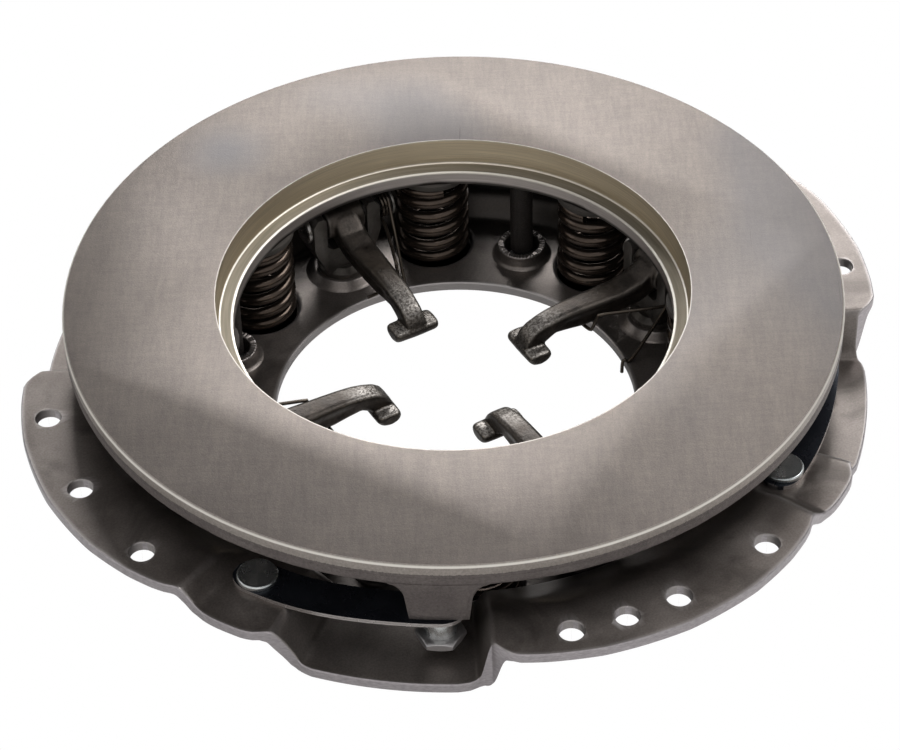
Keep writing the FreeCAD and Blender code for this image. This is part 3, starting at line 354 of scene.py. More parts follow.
    # Painted shade: the plate's underside below 13-14 mm height and inside 128-132 mm radius is darkened almost
    # to black, where the spring tops pass into shade.
    under = both(spread(tree, z, 1.0, 0.0, 0.0128, 0.0140), spread(tree, radius, 1.0, 0.0, 0.128, 0.132))
    colour = mixed(tree, maths(tree, "MULTIPLY", under, 0.9), colour, (0.02, 0.017, 0.015))

    machined = maths(tree, "MAXIMUM", maths(tree, "MAXIMUM", machined_in, on_face), band_high)
    rough = tree.nodes.new("ShaderNodeMix")
    rough.data_type = "FLOAT"
    tree.links.new(machined, rough.inputs["Factor"])
    tree.links.new(spread(tree, cast_cloud, 0.5, 0.65), rough.inputs["A"])
    tree.links.new(spread(tree, clouds, 0.40, 0.46), rough.inputs["B"])
    tree.links.new(colour, shader.inputs["Base Color"])
    tree.links.new(rough.outputs["Result"], shader.inputs["Roughness"])
    tree.links.new(spread(tree, machined, 0.6, 0.97, 0.0, 1.0), shader.inputs["Metallic"])
    height = tree.nodes.new("ShaderNodeMix")
    height.data_type = "FLOAT"
    tree.links.new(machined, height.inputs["Factor"])
    tree.links.new(cast_noise, height.inputs["A"])
    tree.links.new(maths(tree, "MULTIPLY", grains, 0.1), height.inputs["B"])
    tree.links.new(bump_node(tree, height.outputs["Result"], 0.7, 0.0008), shader.inputs["Normal"])
    return material


STEELS = {
    # The cover's last pair gives the radii of its band of painted shade.
    "cover_steel": ((0.140, 0.122, 0.111), (0.235, 0.208, 0.192), 0.85, (0.28, 0.44), 28.0, 1100.0, 0.22,
                    (0.62, 0.59, 0.59), 0.7, 0.5, ((0.46, 0.425, 0.435), 0.183), (0.112, 0.150)),
    "lever_steel": ((0.024, 0.020, 0.017), (0.062, 0.051, 0.043), 0.75, (0.26, 0.42), 130.0, 700.0, 0.8,
                    (0.30, 0.28, 0.255), 0.7),
    "fork_steel": ((0.030, 0.026, 0.023), (0.085, 0.075, 0.066), 0.75, (0.3, 0.5), 90.0, 900.0, 0.5,
                   (0.25, 0.23, 0.21), 0.5),
    "nut_steel": ((0.06, 0.055, 0.05), (0.14, 0.13, 0.12), 0.85, (0.3, 0.45)),
    "pin_steel": ((0.22, 0.21, 0.20), (0.36, 0.345, 0.33), 0.95, (0.22, 0.38)),
    "clip_steel": ((0.07, 0.066, 0.062), (0.15, 0.14, 0.13), 0.8, (0.35, 0.5)),
    "zinc_plate": ((0.38, 0.41, 0.415), (0.47, 0.50, 0.50), 0.95, (0.22, 0.30), 120.0, 1800.0, 0.08,
                   (0.85, 0.87, 0.86), 0.5, 0.0, ((0.75, 0.77, 0.76), 0.1)),
    "bolt_steel": ((0.34, 0.325, 0.325), (0.48, 0.46, 0.46), 0.9, (0.32, 0.44), 150.0, 1500.0, 0.15,
                   (0.66, 0.64, 0.64), 0.5),
    "wire_steel": ((0.04, 0.032, 0.026), (0.10, 0.082, 0.066), 0.85, (0.24, 0.34), 60.0, 1400.0, 0.1,
                   (0.2, 0.17, 0.14), 0.2),
    "spring_steel": ((0.050, 0.037, 0.029), (0.082, 0.062, 0.050), 0.85, (0.17, 0.22), 70.0, 900.0, 0.03,
                     (0.1, 0.08, 0.065), 0.1),
    "strap_steel": ((0.012, 0.014, 0.019), (0.026, 0.029, 0.038), 0.7, (0.2, 0.32), 50.0, 1500.0, 0.1,
                    (0.5, 0.47, 0.45), 0.3, 0.0, ((0.50, 0.46, 0.44), 0.1)),
    "insulator_board": ((0.020, 0.017, 0.014), (0.05, 0.042, 0.036), 0.0, (0.7, 0.85), 60.0, 1400.0, 0.3,
                        (0.05, 0.042, 0.036), 0.2),
}
LOOKS = {name: worn_steel(name, *values) for name, values in STEELS.items()}
pale_nose_tops(LOOKS["lever_steel"])
LOOKS["plate_iron"] = plate_material()
SLOTS = {entry["node"]: entry["material_slot"] for entry in frame["record"]["subparts"]}
BODY_OF = {
    node: body
    for body, members in frame["record"]["behaviour"]["bodies"].items()
    for node in members
}


# Mesh helpers

def placed(name, data):
    item = bpy.data.objects.new(name, data)
    bpy.context.scene.collection.objects.link(item)
    return item


def link_mesh(name, mesh, slot, body, replaced=(), smooth_angle=38.0):
    piece = placed(name, mesh)
    mesh.materials.clear()
    mesh.materials.append(LOOKS[slot])
    mesh.shade_smooth()
    mesh.set_sharp_from_angle(angle=math.radians(smooth_angle))
    if body:
        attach(piece, body)
    if replaced:
        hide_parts(*replaced)
    return piece


def mesh_from(name, points, faces):
    mesh = bpy.data.meshes.new(name)
    mesh.from_pydata((np.asarray(points, float) * MM).tolist(), [], faces)
    mesh.update()
    return mesh


def evaluated_copy(piece):
    graph = bpy.context.evaluated_depsgraph_get()
    return bpy.data.meshes.new_from_object(piece.evaluated_get(graph))


def softened(node, width, segments=2, edge_angle=32.0):
    source = frame["nodes"][node]
    bm = bmesh.new()
    bm.from_mesh(source.data)
    bmesh.ops.remove_doubles(bm, verts=bm.verts, dist=2e-6)
    bmesh.ops.dissolve_limit(bm, angle_limit=math.radians(0.6), verts=bm.verts, edges=bm.edges)
    mesh = bpy.data.meshes.new(node + "_fine")
    bm.to_mesh(mesh)
    bm.free()
    for attribute in ("custom_normal", "sharp_face", "sharp_edge"):
        if attribute in mesh.attributes:
            mesh.attributes.remove(mesh.attributes[attribute])
    helper = placed(node + "_helper", mesh)
    bevel = helper.modifiers.new("edges", "BEVEL")
    bevel.width = width * MM
    bevel.segments = segments
    bevel.limit_method = "ANGLE"
    bevel.angle_limit = math.radians(edge_angle)
    bevel.use_clamp_overlap = True
    bpy.context.view_layer.update()
    fine = evaluated_copy(helper)
    bpy.data.objects.remove(helper)
    return link_mesh(node + "_fine", fine, SLOTS[node], BODY_OF[node], [node])


def lathe(profile, segments=64, centre=(0.0, 0.0)):
    turns = np.arange(segments) * 2 * math.pi / segments
    rows = len(profile)
    points = np.array(
        [
            (centre[0] + r * math.cos(t), centre[1] + r * math.sin(t), z)
            for t in turns
            for r, z in profile
        ]
    )
    faces = []
    for j in range(segments):
        following = (j + 1) % segments
        for i in range(rows):
            above = (i + 1) % rows
            faces.append((j * rows + i, following * rows + i, following * rows + above, j * rows + above))
    return points, faces


def rounded(profile, radius, steps=4, closed=True):
    out = []
    count = len(profile)
    for k, corner in enumerate(profile):
        corner = np.array(corner, float)
        if not closed and k in (0, count - 1):
            out.append(tuple(corner))
            continue
        before = np.array(profile[k - 1], float) - corner
        after = np.array(profile[(k + 1) % count], float) - corner
        reach = min(radius, np.linalg.norm(before) * 0.45, np.linalg.norm(after) * 0.45)
        start = corner + before / np.linalg.norm(before) * reach
        end = corner + after / np.linalg.norm(after) * reach
        for s in np.linspace(0, 1, steps + 1):
            out.append(tuple((1 - s) ** 2 * start + 2 * s * (1 - s) * corner + s * s * end))
    return out


def skin(count, sides, inside_out=False):
    first, last = tuple(range(sides)), tuple((count - 1) * sides + k for k in range(sides))
    faces = [first, last[::-1]] if inside_out else [first[::-1], last]
    for j in range(count - 1):
        for k in range(sides):
            a, b = j * sides + k, j * sides + (k + 1) % sides
            faces.append((b, a, a + sides, b + sides) if inside_out else (a, b, b + sides, a + sides))
    return faces


def tube(points, radius, sides=14, low=None, high=None):
    points = np.asarray(points, float)
    along = np.gradient(points, axis=0)
    along /= np.linalg.norm(along, axis=1)[:, None]
    side = np.cross(along[0], (0.1, 0.2, 1.0))
    turns = np.arange(sides) * 2 * math.pi / sides
    rings = []
    for point, direction in zip(points, along):
        side = side - direction * side.dot(direction)
        side /= np.linalg.norm(side)
        across = np.cross(direction, side)
        rings.append(point + radius * (np.cos(turns)[:, None] * side + np.sin(turns)[:, None] * across))
    verts = np.concatenate(rings)
    if low is not None:
        verts[:, 2] = np.clip(verts[:, 2], low, high)
    return verts, skin(len(points), sides)


def smooth_path(points, step=1.2):
    points = np.asarray(points, float)
    padded = np.vstack([2 * points[0] - points[1], points, 2 * points[-1] - points[-2]])
    out = []
    for k in range(1, len(padded) - 2):
        a, b, c, d = padded[k - 1:k + 3]
        count = max(2, int(np.linalg.norm(c - b) / step))
        for s in np.linspace(0, 1, count, endpoint=False):
            out.append(
                0.5 * (2 * b + (c - a) * s + (2 * a - 5 * b + 4 * c - d) * s * s
                       + (3 * b - a - 3 * c + d) * s ** 3)
            )
    out.append(points[-1])
    return np.array(out)


def turned_about_axis(points, angle):
    turn = math.radians(angle)
    spin = np.array([[math.cos(turn), -math.sin(turn), 0], [math.sin(turn), math.cos(turn), 0], [0, 0, 1]])
    return np.asarray(points, float) @ spin.T


# Coil springs

def coil_path():
    mean = SPRING_OUTER - SPRING_WIRE / 2
    low = CUP_FLOOR + SEAT_GAP + SPRING_WIRE / 2
    high = INSULATOR_FOOT - SEAT_GAP - SPRING_WIRE / 2
    closed = 1.04 * SPRING_WIRE
    free = (high - low - 2 * closed) / SPRING_PITCH
    turns = free + 2
    steps = np.linspace(0, turns, int(turns * 40))
    climb = closed * np.clip(steps, 0, 1) + SPRING_PITCH * np.clip(steps - 1, 0, free)
    climb += closed * np.clip(steps - 1 - free, 0, None)
    angle = 2 * math.pi * steps
    return np.column_stack([SPRING_CENTRE + mean * np.cos(angle), mean * np.sin(angle), low + climb])


coil_points = coil_path()
for k in range(8):
    angle = (k // 2) * QUARTER + (-SPRING_ANGLE, SPRING_ANGLE)[k % 2]
    verts, faces = tube(coil_points, SPRING_WIRE / 2, 16, CUP_FLOOR + 0.7, INSULATOR_FOOT - 0.7)
    mesh = mesh_from(f"coil_{k + 1}", turned_about_axis(verts, angle), faces)
    piece = link_mesh(f"coil_{k + 1}", mesh, "spring_steel", "cover", [f"coil_spring_{k + 1}"], 60)
    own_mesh(piece)


# Lever torsion springs

def twist_path():
    radius, wire, pitch = 6.65, 1.7, 1.78
    start_side = -(18 + 0.39) - wire / 2
    hook = PIVOT_RADIUS - 43
    under = -17.7 - wire / 2 - 0.7
    beside = -6.9 - wire / 2 - 0.6
    leg = [
        (hook - 0.5, -beside + 0.8, under - 0.6),
        (hook, 0, under - 0.3),
        (hook + 0.8, beside + 1.2, under),
        (hook + 1.6, beside - 0.2, under + 1.6),
        (hook + 4, beside - 1, PIVOT_HEIGHT - radius - 0.6),
        (hook + 7, beside - 2, PIVOT_HEIGHT - radius + 0.4),
        (PIVOT_RADIUS - 9.5, start_side, PIVOT_HEIGHT - radius),
    ]
    turns = np.radians(np.linspace(-90, -90 + 360 * 2.64, 90))
    side = start_side - pitch * (turns + math.pi / 2) / (2 * math.pi)
    coil = np.column_stack(
        [PIVOT_RADIUS + radius * np.cos(turns), side, PIVOT_HEIGHT + radius * np.sin(turns)]
    )
    rest = FLOOR_HEIGHT + wire / 2 + 0.3
    edge_side = start_side + 0.3
    edge = math.sqrt(COVER_BORE ** 2 - edge_side ** 2)
    tail = [
        tuple(coil[-1]),
        (edge + 3.2, edge_side - 1.2, rest + 1.6),
        (edge - 0.6, edge_side, rest + 0.7),
        (edge - 1.9, edge_side, rest - 0.7),
        (edge - 2.2, edge_side, rest - 6.5),
    ]
    return np.vstack([smooth_path(leg + [tuple(coil[0])])[:-1], coil, smooth_path(tail)[1:]])


twist_points = twist_path()
for k in STATIONS:
    verts, faces = tube(twist_points, 0.85, 10)
    mesh = mesh_from(f"twist_{k + 1}", turned_about_axis(verts, k * QUARTER), faces)
    link_mesh(f"twist_{k + 1}", mesh, "wire_steel", "cover", [f"lever_spring_{k + 1}"], 60)


# Cover: a smoothed height map of the pressing on a polar grid

def lowered(points, gauge):
    lines = []
    for (r0, z0), (r1, z1) in zip(points, points[1:]):
        length = math.hypot(r1 - r0, z1 - z0)
        run, rise = (r1 - r0) / length, (z1 - z0) / length
        lines.append((r0 + gauge * rise, z0 - gauge * run, run, rise))
    moved = [(lines[0][0], lines[0][1])]
    for (ra, za, run_a, rise_a), (rb, zb, run_b, rise_b) in zip(lines, lines[1:]):
        cross = run_a * rise_b - rise_a * run_b
        if abs(cross) < 1e-9:
            moved.append((rb, zb))
            continue
        along = ((rb - ra) * rise_b - (zb - za) * run_b) / cross
        moved.append((ra + along * run_a, za + along * rise_a))
    moved.append((points[-1][0], points[-1][1] - gauge))
    return moved


MAP_STEP_R = 0.5
MAP_STEP_T = 0.1
MAP_R = np.arange(80.0, 208.01, MAP_STEP_R)
MAP_T = np.arange(-26.0, 64.0, MAP_STEP_T)


def gaussian(values, sigma, axis, wrap):
    reach = int(3 * sigma) + 1
    kernel = np.exp(-0.5 * (np.arange(-reach, reach + 1) / sigma) ** 2)
    kernel /= kernel.sum()
    pad = [(0, 0), (0, 0)]
    pad[axis] = (reach, reach)
    padded = np.pad(values, pad, mode="wrap" if wrap else "edge")
    out = np.zeros_like(values)
    count = values.shape[axis]
    for k, weight in enumerate(kernel):
        part = padded[k:k + count] if axis == 0 else padded[:, k:k + count]
        out += weight * part
    return out


def height_map(gauge):
    sections = [lowered(s, gauge) if gauge else s for s in (PAD, SHOULDER, RECESS)]
    rows = [np.interp(MAP_R, *zip(*section)) for section in sections]
    order = [0, 0, 1, 1, 2, 2, 0, 0]
    breaks = [PAD_START, PAD_END, SHOULDER_START, SHOULDER_END, RECESS_START, RECESS_END,
              PAD_START + QUARTER, PAD_END + QUARTER]
    levels = [0.0, SHOULDER_HEIGHT, RECESS_HEIGHT]
    for k in range(1, 6, 2):
        drop = levels[order[k]] - levels[order[k + 1]]
        run = STRAP_CIRCLE * math.radians(breaks[k + 1] - breaks[k])
        shift = math.degrees(gauge * math.tan(math.atan2(abs(drop), run) / 2) / STRAP_CIRCLE)
        breaks[k] -= math.copysign(shift, drop)
        breaks[k + 1] -= math.copysign(shift, drop)
    breaks[0] = breaks[6] - QUARTER
    values = np.zeros((len(MAP_T), len(MAP_R)))
    for j, angle in enumerate(MAP_T):
        angle = angle if angle >= breaks[0] else angle + QUARTER
        k = max(i for i in range(len(breaks)) if breaks[i] <= angle)
        k = min(k, len(breaks) - 2)
        share = (angle - breaks[k]) / (breaks[k + 1] - breaks[k])
        values[j] = (1 - share) * rows[order[k]] + share * rows[order[k + 1]]
    values = gaussian(values, 1.7 / MAP_STEP_R, 1, False)
    return gaussian(values, 4.5, 0, True)


def sample_map(values, angle, radius):
    t = ((angle - MAP_T[0]) % QUARTER) / MAP_STEP_T
    r = np.clip((radius - MAP_R[0]) / MAP_STEP_R, 0, len(MAP_R) - 1.001)
    t0 = np.floor(t).astype(int)
    r0 = np.floor(r).astype(int)
    ft, fr = t - t0, r - r0
    t0 %= len(MAP_T)
    t1 = (t0 + 1) % len(MAP_T)
    low = values[t0, r0] * (1 - fr) + values[t0, r0 + 1] * fr
    high = values[t1, r0] * (1 - fr) + values[t1, r0 + 1] * fr
    return low * (1 - ft) + high * ft


OUTLINE = [
    (-26.2, 186.8), (-25.2, 187.6), (-24.2, 191.5), (-23.2, 195.0), (-22.2, 196.9), (-19.0, 198.6),
    (-12.0, 201.4), (-1.0, 203.0), (9.0, 201.9), (16.0, 199.2), (19.6, 197.0), (21.2, 195.6), (22.6, 193.6),
    (24.2, 193.0), (25.8, 193.4), (27.3, 194.6), (29.0, 195.0), (33.0, 194.9), (34.4, 193.8), (35.6, 191.4),
    (36.6, 190.3), (37.8, 188.4), (39.0, 187.8), (40.2, 189.1), (41.4, 190.0), (50.0, 190.0), (60.5, 190.0),
    (62.0, 189.2), (63.2, 187.4), (63.8, 186.8),
]


def outline_radius(angle):
    angle = (angle - MAP_T[0]) % QUARTER + MAP_T[0]
    places, radii = zip(*OUTLINE)
    return np.interp(angle, places, radii)


def spread_smoothly(start, end, value):
    share = np.clip((value - start) / (end - start), 0, 1)
    return share * share * (3 - 2 * share)


def cover_surface(values, angle, radius, under):
    height = sample_map(values, angle, radius)
    local = (angle + 45) % QUARTER - 45
    if not under:
        bump_x, bump_y = 180 * math.cos(math.radians(31.5)), 180 * math.sin(math.radians(31.5))
        turn = np.radians((angle - MAP_T[0]) % QUARTER + MAP_T[0])
        qx, qy = radius * np.cos(turn), radius * np.sin(turn)
        height = height + 0.9 * np.exp(-((qx - bump_x) ** 2 + (qy - bump_y) ** 2) / 30)
        wave = 0.5 * np.sin(np.radians(local) * 34) * np.exp(-((radius - 166) / 5.0) ** 2)
        height = height + wave * (np.abs(local) < 21)
    return height


def cover_mesh():
    def zone(start, end, step):
        return np.arange(start, end - 1e-6, step)
    quarter = np.concatenate([
        zone(-26, -23.6, 0.16), zone(-23.6, 22, 0.8), zone(22, 27, 0.45), zone(27, 36, 0.8),
        zone(36, 42, 0.5), zone(42, 61.5, 0.8), zone(61.5, 64, 0.16),
    ])
    angles = np.concatenate([quarter + k * QUARTER for k in STATIONS])
    radii = np.concatenate([zone(COVER_BORE, 130, 1.7), zone(130, 172, 1.2)])
    edge = outline_radius(angles)
    shares = np.array([0.0, 0.2, 0.4, 0.6, 0.8, 0.93])
    columns = len(angles)
    tops, bottoms = [], []
    upper, lower = height_map(0.0), height_map(SHEET)
    rows_r = [np.full(columns, r) for r in radii]
    rows_r += [172 + (edge - 172) * s for s in shares]
    rows_r += [edge - 0.5]
    for k, row in enumerate(rows_r):
        inset = 0.5 if k == 0 else 0.0
        row = row + inset
        tops.append(np.column_stack([angles, row, cover_surface(upper, angles, row, False)]))
        bottoms.append(np.column_stack([angles, row, cover_surface(lower, angles, row, True)]))
    outer_top, outer_low = tops[-1].copy(), bottoms[-1].copy()
    outer_top[:, 1] = outer_low[:, 1] = edge
    outer_top[:, 2] -= 0.5
    outer_low[:, 2] += 0.5
    inner_top, inner_low = tops[0].copy(), bottoms[0].copy()
    inner_top[:, 1] = inner_low[:, 1] = COVER_BORE
    inner_top[:, 2] -= 0.5
    inner_low[:, 2] += 0.5
    loop = tops + [outer_top, outer_low] + bottoms[::-1] + [inner_low, inner_top]
    polar = np.concatenate(loop)
    turn = np.radians(polar[:, 0])
    points = np.column_stack([polar[:, 1] * np.cos(turn), polar[:, 1] * np.sin(turn), polar[:, 2]])
    faces = []
    count = len(loop)
    for i in range(count):
        following = (i + 1) % count
        for j in range(columns):
            beside = (j + 1) % columns
            faces.append((i * columns + j, i * columns + beside, following * columns + beside,
                          following * columns + j))
    return mesh_from("cover_fine", points, faces)


def polar_spot(radius, angle):
    return radius * math.cos(math.radians(angle)), radius * math.sin(math.radians(angle))


def joined(parts):
    verts, faces, start = [], [], 0
    for points, part_faces in parts:
        verts.append(np.asarray(points, float))
        faces += [tuple(index + start for index in face) for face in part_faces]
        start += len(points)
    return np.concatenate(verts), faces


def plug(radius, top, bottom, angle, ring, lip=0.45, segments=40):
    profile = [(0.01, top + 1.2), (radius + lip + 1.2, top + 1.2), (radius, top - lip),
               (radius, bottom + lip), (radius + lip + 1.2, bottom - 1.2), (0.01, bottom - 1.2)]
    return lathe(profile[::-1], segments, polar_spot(ring, angle))


cover_piece = placed("cover_fine", cover_mesh())
plugs = []
for k in STATIONS:
    for angle in BOLT_ANGLES:
        plugs.append(plug(BOLT_HOLE, 0.0, -SHEET, angle + k * QUARTER, BOLT_RING))
    plugs.append(plug(15.3, FLOOR_HEIGHT, FLOOR_HEIGHT - SHEET, k * QUARTER, PIVOT_RADIUS, 0.0))
    plugs.append(plug(9.6, FLOOR_HEIGHT, FLOOR_HEIGHT - SHEET, POST_ANGLE + k * QUARTER, PIVOT_RADIUS, 0.0))
for angle in DOWEL_ANGLES:
    plugs.append(plug(DOWEL_HOLE, 0.0, -SHEET, angle, BOLT_RING))
for angle in SPRING_SPOTS:
    cup_cut = [(0.01, CUP_FLOOR), (CUP_RADIUS - 1.4, CUP_FLOOR), (CUP_RADIUS - 0.9, CUP_FLOOR + 0.25),
               (CUP_RADIUS - 0.7, CUP_FLOOR + 0.9), (CUP_RADIUS - 0.5, FLOOR_HEIGHT - 0.9),
               (CUP_RADIUS + 0.3, FLOOR_HEIGHT - 0.25), (CUP_RADIUS + 1.6, FLOOR_HEIGHT + 0.2),
               (CUP_RADIUS + 1.6, -16.0), (0.01, -16.0)]
    plugs.append(lathe(cup_cut, 72, polar_spot(SPRING_CENTRE, angle)))
cutter = placed("plugs", mesh_from("plugs", *joined(plugs)))
holes = cover_piece.modifiers.new("holes", "BOOLEAN")
holes.operation = "DIFFERENCE"
holes.solver = "EXACT"
holes.object = cutter
bpy.context.view_layer.update()
drilled = evaluated_copy(cover_piece)
bpy.data.objects.remove(cover_piece)
bpy.data.objects.remove(cutter)
link_mesh("cover_fine", drilled, "cover_steel", "cover", ["cover"], 40)

seats = []
for k in STATIONS:
    spot = polar_spot(PIVOT_RADIUS, k * QUARTER)
    seat = rounded([(19.0, FLOOR_HEIGHT - 0.3), (17.3, FLOOR_HEIGHT + 0.4), (14.3, FLOOR_HEIGHT + 3.4),
                    (13.3, FLOOR_HEIGHT + 3.6), (8.5, FLOOR_HEIGHT + 3.6), (8.5, -38.5), (10, -38.5),
                    (14.3, -42.0), (19.0, -42.0)], 1.0, 3)
    seats.append(lathe(seat, 72, spot))
    spot = polar_spot(PIVOT_RADIUS, POST_ANGLE + k * QUARTER)
    collar = rounded([(16.0, FLOOR_HEIGHT - 0.3), (14.2, FLOOR_HEIGHT + 0.15), (13.0, FLOOR_HEIGHT + 1.2),
                      (12.5, FLOOR_HEIGHT + 2.4), (12.0, FLOOR_HEIGHT + 4.2), (11.9, FLOOR_HEIGHT + 6.1),
                      (11.4, FLOOR_HEIGHT + 6.6), (8.9, FLOOR_HEIGHT + 6.5), (8.3, FLOOR_HEIGHT + 5.9),
                      (8.3, -39.0), (10.4, -42.0), (15.5, -42.0)], 0.45, 3)
    points, faces = lathe(collar, 120, spot)
    rim = points[:, 2] > FLOOR_HEIGHT + 5.4
    bearing = np.arctan2(points[:, 1] - spot[1], points[:, 0] - spot[0])
    teeth = 0.5 + 0.5 * np.sin(bearing * 46 + 1.7 * np.sin(bearing * 5))
    points[rim, 2] -= 0.42 * teeth[rim]
    seats.append((points, faces))
for angle in SPRING_SPOTS:
    cup = rounded([(0.01, CUP_FLOOR), (CUP_RADIUS - 0.3, CUP_FLOOR), (CUP_RADIUS + 0.6, CUP_FLOOR + 1.0),
                   (CUP_RADIUS + 0.8, FLOOR_HEIGHT - 2.0), (CUP_RADIUS + 6.0, FLOOR_HEIGHT - 4.0),
                   (CUP_RADIUS + 4.2, CUP_FLOOR - SHEET), (0.01, CUP_FLOOR - SHEET)], 1.2, 3, False)
    seats.append(lathe(cup, 72, polar_spot(SPRING_CENTRE, angle)))
link_mesh("cover_collars", mesh_from("cover_collars", *joined(seats)), "cover_steel", "cover", (), 50)


# Release levers: forged bars with a crossbar toe

def lever_mesh():
    stations = [
        (34.6, -20.2, -23.6, 4.6), (35.4, -17.6, -24.2, 5.0), (36.5, -15.2, -24.0, 5.2),
        (38.5, -12.6, -23.4, 5.3), (41.3, -10.4, -22.4, 5.3), (46.5, -8.6, -19.2, 5.4), (51.7, -7.6, -15.9, 5.6),
        (58, -6.9, -16.7, 5.8), (66, -6.5, -17.9, 6.1), (76, -6.4, -17.9, 6.6), (88, -6.3, -17.3, 7.1), (97, -4.1, -16.2, 7.3),
        (104, 1.0, -13.4, 7.3), (111, 3.9, -12.2, 7.2), (120, 4.8, -11.4, 7.2), (127, 5.6, -10.2, 7.1),
        (134, 5.4, -8.8, 6.9), (137.6, 2.0, -5.4, 6.4),
    ]
    stations = np.array(stations, float)
    fine_r = np.linspace(stations[0, 0], stations[-1, 0], 90)
    rings = []
    sides = 28
    turns = np.arange(sides) * 2 * math.pi / sides
    for r in fine_r:
        top, low, half = (np.interp(r, stations[:, 0], stations[:, c]) for c in (1, 2, 3))
        middle, tall = (top + low) / 2, (top - low) / 2
        power = 0.42
        w = half * np.sign(np.cos(turns)) * np.abs(np.cos(turns)) ** power
        z = tall * np.sign(np.sin(turns)) * np.abs(np.sin(turns)) ** power
        groove = 1.1 * np.exp(-((z + 0.1 * tall) / (0.45 * tall)) ** 2)
        groove *= spread_smoothly(52, 62, r) * (1 - spread_smoothly(96, 104, r))
        w = w - np.sign(w) * np.minimum(groove, np.abs(w))
        rings.append(np.column_stack([np.full(sides, r), w, middle + z]))
    parts = [(np.concatenate(rings), skin(len(fine_r), sides, True))]
    toe = rounded([(34.7, -18.9), (33.7, -21.6), (35.5, -24.4), (40, -25.5), (44.4, -24.4), (46.8, -21.9),
                   (45.6, -19.0), (40.0, -18.4)], 1.6, 4)
    toe = np.array(toe)
    centre = toe.mean(0)
    rings = []
    for w, scale in ((-11.5, 0.62), (-11.3, 0.8), (-10.6, 0.92), (-9.2, 0.985), (-5, 1.0), (0, 1.0), (5, 1.0),
                     (9.2, 0.985), (10.6, 0.92), (11.3, 0.8), (11.5, 0.62)):
        outline = centre + (toe - centre) * scale
        rings.append(np.column_stack([outline[:, 0], np.full(len(toe), w), outline[:, 1]]))
    parts.append((np.concatenate(rings), skin(len(rings), len(toe), True)))
    for r, z, radius, half in ((PIVOT_RADIUS, PIVOT_HEIGHT, 8.2, 10.0), (EYE_RADIUS, EYE_HEIGHT, 8.5, 7.0)):
        profile = rounded([(0.01, -half), (radius, -half), (radius, half), (0.01, half)], 1.2, 3, False)
        points, drum_faces = lathe(profile, 48)
        moved = np.column_stack([points[:, 0] + r, points[:, 2], points[:, 1] + z])
        parts.append((moved, drum_faces))
    verts, faces = joined(parts)
    piece = placed("lever_helper", mesh_from("lever_helper", verts, faces))
    remesh = piece.modifiers.new("weld", "REMESH")
    remesh.mode = "VOXEL"
    remesh.voxel_size = 0.6 * MM
    soft = piece.modifiers.new("soft", "SMOOTH")
    soft.factor = 0.5
    soft.iterations = 5
    bpy.context.view_layer.update()
    mesh = evaluated_copy(piece)
    bpy.data.objects.remove(piece)
    return mesh


lever_base = lever_mesh()
for k in STATIONS:
    mesh = lever_base.copy()
    mesh.transform(Matrix.Rotation(math.radians(k * QUARTER), 4, "Z"))
    name = f"lever_forging_{k + 1}"
    link_mesh(name, mesh, "lever_steel", f"lever_{k + 1}", [f"release_lever_{k + 1}"], 60)


# Rigid pieces whose solids keep their shape, with worked edges

softened("pressure_plate", 0.9, 3)
for k in STATIONS:
    softened(f"lever_fork_{k + 1}", 1.3, 3)
    softened(f"adjusting_nut_{k + 1}", 0.5)
    softened(f"fork_pin_{k + 1}", 0.25)
    softened(f"plate_pin_{k + 1}", 0.25)
for node, width in (("fork_pin_clips", 0.2), ("plate_pin_clips", 0.2), ("spring_insulators", 0.4),
                    ("hold_down_bolts", 0.4)):
    softened(node, width)


# Rivets, sleeves and bolt heads at the strap ends

def ring_of(name, slot, body, node, angle, make):
    parts = []
    for k in STATIONS:
        points, faces = make()
        turned = turned_about_axis(np.asarray(points) + np.array([STRAP_CIRCLE, 0, 0]), angle + k * QUARTER)
        parts.append((turned, faces))
    link_mesh(name, mesh_from(name, *joined(parts)), slot, body, [node], 35)


def rivet():
    top = STRAP_TOP + 2.5
    back = SHOULDER_HEIGHT - SHEET
    head = rounded([(0.01, top - 0.16), (7.6, top - 0.12), (8.45, top), (9.0, top - 0.7),
                    (9.0, STRAP_TOP + 0.02), (4.0, STRAP_TOP + 0.02), (4.0, back), (8.0, back),
                    (6.2, back - 2.5), (0.01, back - 2.5)], 0.35, 3, False)
    return lathe(head[::-1], 72)


def sleeve():
    top = LUG_FOOT - 2.0
    wall = rounded([(5.1, top), (7.0, top), (7.0, SLEEVE_FOOT), (5.1, SLEEVE_FOOT)], 0.3, 3)
    return lathe(wall[::-1], 56)


def hexagon_bolt(flats, crown, top, head, shank, shank_top):
    turns = np.arange(96) * 2 * math.pi / 96
    corner = flats / np.cos((turns + math.pi / 6) % (math.pi / 3) - math.pi / 6)
    slope = math.tan(math.radians(27))
    rows = [
        (np.full(96, 0.01), np.full(96, shank_top)),
        (np.full(96, shank - 0.6), np.full(96, shank_top)),
        (np.full(96, shank), np.full(96, shank_top - 0.6)),
        (np.full(96, shank), np.full(96, top)),
        (np.full(96, crown), np.full(96, top)),
        (corner, top - np.maximum(corner - crown, 0) * slope - 0.15),
        (corner, top - head + np.maximum(corner - crown, 0) * slope + 0.15),
        (np.full(96, crown), np.full(96, top - head)),
        (np.full(96, 0.01), np.full(96, top - head)),
    ]
    points = np.concatenate(
        [np.column_stack([r * np.cos(turns), r * np.sin(turns), z]) for r, z in rows]
    )
    faces = []
    for i in range(len(rows) - 1):
        for j in range(96):
            beside = (j + 1) % 96
            faces.append((i * 96 + j, (i + 1) * 96 + j, (i + 1) * 96 + beside, i * 96 + beside))
    return points, faces


